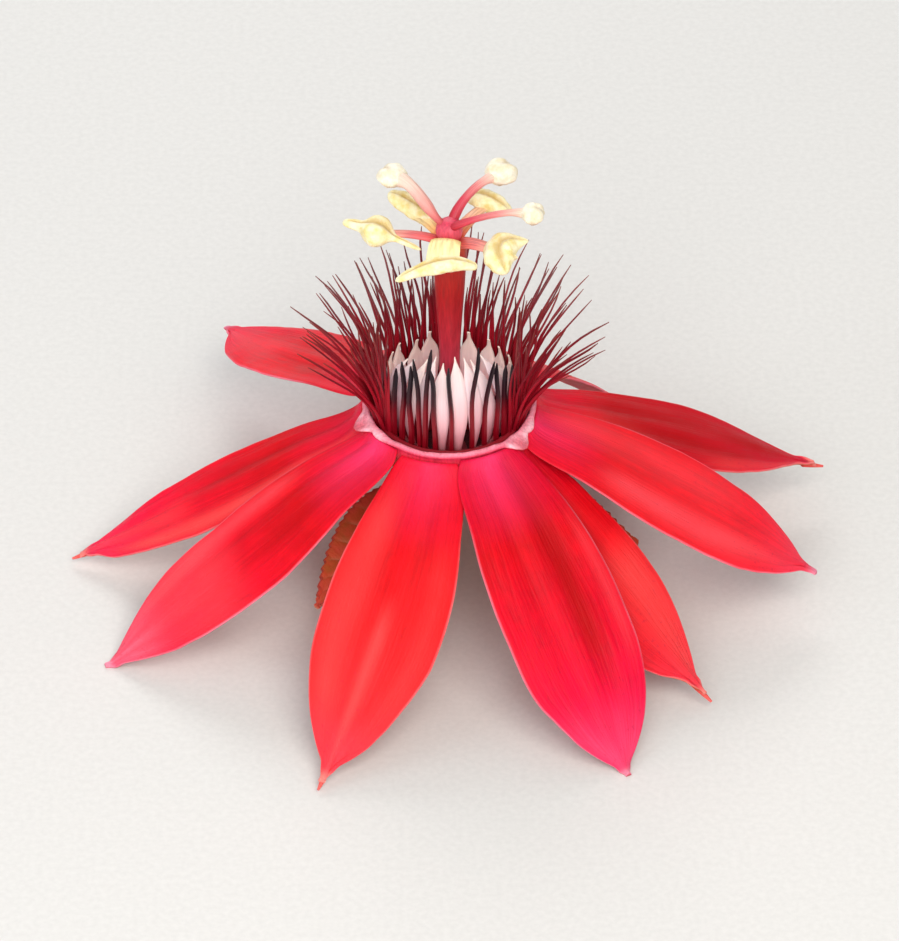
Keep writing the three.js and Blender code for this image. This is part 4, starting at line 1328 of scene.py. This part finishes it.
class TepalSettings(bpy.types.PropertyGroup):
    thickness: bpy.props.FloatProperty(
        name="Thickness", description="Thickness along the midrib", default=0.95 * MM,
        unit="LENGTH")
    rib_height: bpy.props.FloatProperty(
        name="Rib height", description="How far the midrib stands up", default=0.32 * MM,
        unit="LENGTH")
    furrow_depth: bpy.props.FloatProperty(
        name="Furrow depth", description="Depth of the furrows beside the midrib",
        default=0.32 * MM, unit="LENGTH")
    edge_wave: bpy.props.FloatProperty(
        name="Edge wave", description="Height of the waves along the edges",
        default=0.9 * MM, unit="LENGTH")


def tint(name, description, colour):
    """A colour that the user may change."""
    return bpy.props.FloatVectorProperty(
        name=name, description=description, default=linear(colour), size=4, min=0.0, max=1.0,
        subtype="COLOR")


class SepalColours(bpy.types.PropertyGroup):
    # Dark bands are sap red and painted shade; light bands are paler coral and painted highlights.
    sap_and_shade_colour: tint("Dark bands", "Sap red where the blade is deepest", "#b4000c")
    coral_and_highlight_colour: tint("Light bands", "Coral where the blade is palest", "#fa4e4c")
    base_colour: tint("Base", "Flush where the sepal leaves the cup", "#f02c5a")
    tip_colour: tint("Tip", "The last few millimetres", "#ff8c80")
    under_colour: tint("Underside", "The outer face", "#cf5a38")
    edge_colour: tint("Edge", "Thin pale line along the edge", "#ff9aa0")


class PetalColours(bpy.types.PropertyGroup):
    # Dark bands are sap red and painted shade; light bands are paler coral and painted highlights.
    sap_and_shade_colour: tint("Dark bands", "Sap red where the blade is deepest", "#b8000a")
    coral_and_highlight_colour: tint("Light bands", "Coral where the blade is palest", "#fb4a54")
    base_colour: tint("Base", "Pink flush where the petal leaves the cup", "#f43468")
    tip_colour: tint("Tip", "The last few millimetres", "#ff90a8")
    under_colour: tint("Underside", "The outer face", "#d8434c")
    edge_colour: tint("Edge", "Thin pale line along the edge", "#ffa6bc")


class FlowerColours(bpy.types.PropertyGroup):
    lip_colour: tint("Lip", "Lip of the floral cup", "#f893a6")
    bract_colour: tint("Bracts", "Flush of the leafy bracts", "#e05a44")
    column_colour: tint("Column", "Middle of the column", "#a40d10")
    ovary_colour: tint("Ovary", "Side of the ovary", "#e05a6c")
    pollen_colour: tint("Pollen", "Lightest tone of the anthers", "#f7efc6")
    style_colour: tint("Styles", "Lower part of the styles", "#cc4454")
    stigma_colour: tint("Stigmas", "Lightest tone of the stigmas", "#f3ecd8")


class CoronaSettings(bpy.types.PropertyGroup):
    spreading: bpy.props.IntProperty(
        name="Spreading threads", description="Threads that lean outwards", default=112, min=1)
    erect: bpy.props.IntProperty(
        name="Erect threads", description="Threads that stand upright", default=48, min=1)
    strips: bpy.props.IntProperty(
        name="White strips", description="Strips of the barrel", default=BARREL_STRIPS, min=3)
    thread_colour: tint("Threads", "Middle of the dark threads", "#a81024")
    dark_end_colour: tint("Dark ends", "Ends of the front threads", "#160812")
    strip_colour: tint("Strips", "Middle of the white strips", "#e9c2cc")


class StudioSettings(bpy.types.PropertyGroup):
    elevation: bpy.props.FloatProperty(
        name="Camera elevation", description="Angle at which the camera looks down",
        default=math.radians(39.0), subtype="ANGLE")
    distance: bpy.props.FloatProperty(
        name="Camera distance", description="From the camera to the flower", default=1.3,
        unit="LENGTH")
    lens: bpy.props.FloatProperty(
        name="Lens", description="Focal length of the camera in millimetres", default=285.0)
    floor_colour: tint("Floor", "Pale floor under the flower", "#dcdad6")


# ---- Operators ------------------------------------------------------------------------


class FLOWER_OT_sepals(bpy.types.Operator):
    """Builds the five sepals"""

    bl_idname = "flower.sepals"
    bl_label = "Sepals"

    def execute(self, context):
        look = context.scene.flower_tepals
        skin = petal_tissue("sepal_skin", context.scene.flower_sepal_colours)
        for i, shape in enumerate(SEPALS, 1):
            tepal(f"sepal_blade_{i}", f"sepal_{i}", shape, SEPAL_TOP, i, "sepal", skin, look)
        return {"FINISHED"}


class FLOWER_OT_petals(bpy.types.Operator):
    """Builds the five petals"""

    bl_idname = "flower.petals"
    bl_label = "Petals"

    def execute(self, context):
        look = context.scene.flower_tepals
        skin = petal_tissue("petal_skin", context.scene.flower_petal_colours)
        for i, shape in enumerate(PETALS, 1):
            tepal(f"petal_blade_{i}", f"petal_{i}", shape, PETAL_TOP, 10 + i, "petal", skin,
                  look)
        return {"FINISHED"}


class FLOWER_OT_cup(bpy.types.Operator):
    """Builds the floral cup with its pink lip"""

    bl_idname = "flower.cup"
    bl_label = "Floral cup"

    def execute(self, context):
        floral_cup(context.scene.flower_colours)
        return {"FINISHED"}


class FLOWER_OT_stalk(bpy.types.Operator):
    """Builds the stalk and its three bracts"""

    bl_idname = "flower.stalk"
    bl_label = "Stalk and bracts"

    def execute(self, context):
        pedicel()
        leaf = bract_tissue(context.scene.flower_colours)
        for i, azimuth in enumerate(BRACTS, 1):
            bract(i, azimuth, leaf)
        return {"FINISHED"}


class FLOWER_OT_coronas(bpy.types.Operator):
    """Builds the fringe of dark threads and the white barrel"""

    bl_idname = "flower.coronas"
    bl_label = "Coronas"

    def execute(self, context):
        outer_corona(context.scene.flower_coronas)
        inner_corona(context.scene.flower_coronas)
        return {"FINISHED"}


class FLOWER_OT_column(bpy.types.Operator):
    """Builds the column and the ovary on its top"""

    bl_idname = "flower.column"
    bl_label = "Column and ovary"

    def execute(self, context):
        column(context.scene.flower_colours)
        ovary(context.scene.flower_colours)
        return {"FINISHED"}


class FLOWER_OT_stamens(bpy.types.Operator):
    """Builds the five stamens"""

    bl_idname = "flower.stamens"
    bl_label = "Stamens"

    def execute(self, context):
        thread = strand_tissue(
            "stamen_thread",
            [(0.0, "#e0694a"), (0.2, "#f0c070"), (0.6, "#f6e2a0"), (1.0, "#f6e9b4")],
            [(0.0, "#cc3a40"), (0.5, "#d8606a"), (1.0, "#eab8a0")], rough=0.42, grain=0.5,
        )
        colours = context.scene.flower_colours
        # The third colour is painted shade in the groove between the sacs.
        pollen = pollen_tissue("cream_pollen", colours.pollen_colour, "#e8d488", "#bd9440",
                               POLLEN_GRAIN)
        for i, stamen in enumerate(STAMENS, 1):
            stamen_filament(i, stamen, thread)
            anther(i, stamen, pollen)
        return {"FINISHED"}


class FLOWER_OT_styles(bpy.types.Operator):
    """Builds the three styles and their stigmas"""

    bl_idname = "flower.styles"
    bl_label = "Styles"

    def execute(self, context):
        colours = context.scene.flower_colours
        stem = strand_tissue(
            "pink_style",
            [(0.0, "#b82438"), (0.35, colours.style_colour), (0.62, "#de8280"), (0.85, "#eebcac"),
             (1.0, "#f6dcc0")],
            [(0.0, "#c03848"), (0.3, "#dc8c84"), (0.6, "#eebaac"), (1.0, "#f4dcc6")],
            rough=0.42, grain=0.4,
        )
        # The third colour is painted shade in the cleft and under the knob.
        knob = pollen_tissue("cream_stigma", colours.stigma_colour, "#e6d6b0", "#b8925e",
                             STIGMA_GRAIN)
        for i, shape in enumerate(STYLES, 1):
            style(i, shape, stem)
            stigma(i, shape, knob)
        return {"FINISHED"}


class FLOWER_OT_studio(bpy.types.Operator):
    """Sets up the floor, the lights and the camera"""

    bl_idname = "flower.studio"
    bl_label = "Studio"

    def execute(self, context):
        studio(context.scene.flower_studio)
        return {"FINISHED"}


STEPS = (FLOWER_OT_stalk, FLOWER_OT_cup, FLOWER_OT_sepals, FLOWER_OT_petals,
         FLOWER_OT_coronas, FLOWER_OT_column, FLOWER_OT_stamens, FLOWER_OT_styles,
         FLOWER_OT_studio)


class FLOWER_PT_panel(bpy.types.Panel):
    """Lists the steps that build the flower"""

    bl_idname = "FLOWER_PT_panel"
    bl_label = "Passion flower"
    bl_space_type = "VIEW_3D"
    bl_region_type = "UI"
    bl_category = "Flower"

    def draw(self, context):
        for group in GROUPS:
            settings = getattr(context.scene, group)
            for name in settings.bl_rna.properties.keys():
                if name not in ("rna_type", "name"):
                    self.layout.prop(settings, name)
        for step in STEPS:
            self.layout.operator(step.bl_idname)


GROUPS = {"flower_tepals": TepalSettings, "flower_sepal_colours": SepalColours,
          "flower_petal_colours": PetalColours, "flower_coronas": CoronaSettings,
          "flower_colours": FlowerColours, "flower_studio": StudioSettings}


def register():
    for group in GROUPS.values():
        bpy.utils.register_class(group)
    for name, group in GROUPS.items():
        setattr(bpy.types.Scene, name, bpy.props.PointerProperty(type=group))
    for step in STEPS:
        bpy.utils.register_class(step)
    bpy.utils.register_class(FLOWER_PT_panel)


def unregister():
    bpy.utils.unregister_class(FLOWER_PT_panel)
    for step in reversed(STEPS):
        bpy.utils.unregister_class(step)
    for name, group in GROUPS.items():
        delattr(bpy.types.Scene, name)
        bpy.utils.unregister_class(group)


def main():
    register()
    bpy.ops.flower.stalk()
    bpy.ops.flower.cup()
    bpy.ops.flower.sepals()
    bpy.ops.flower.petals()
    bpy.ops.flower.coronas()
    bpy.ops.flower.column()
    bpy.ops.flower.stamens()
    bpy.ops.flower.styles()
    bpy.ops.flower.studio()


if __name__ == "__main__":
    main()
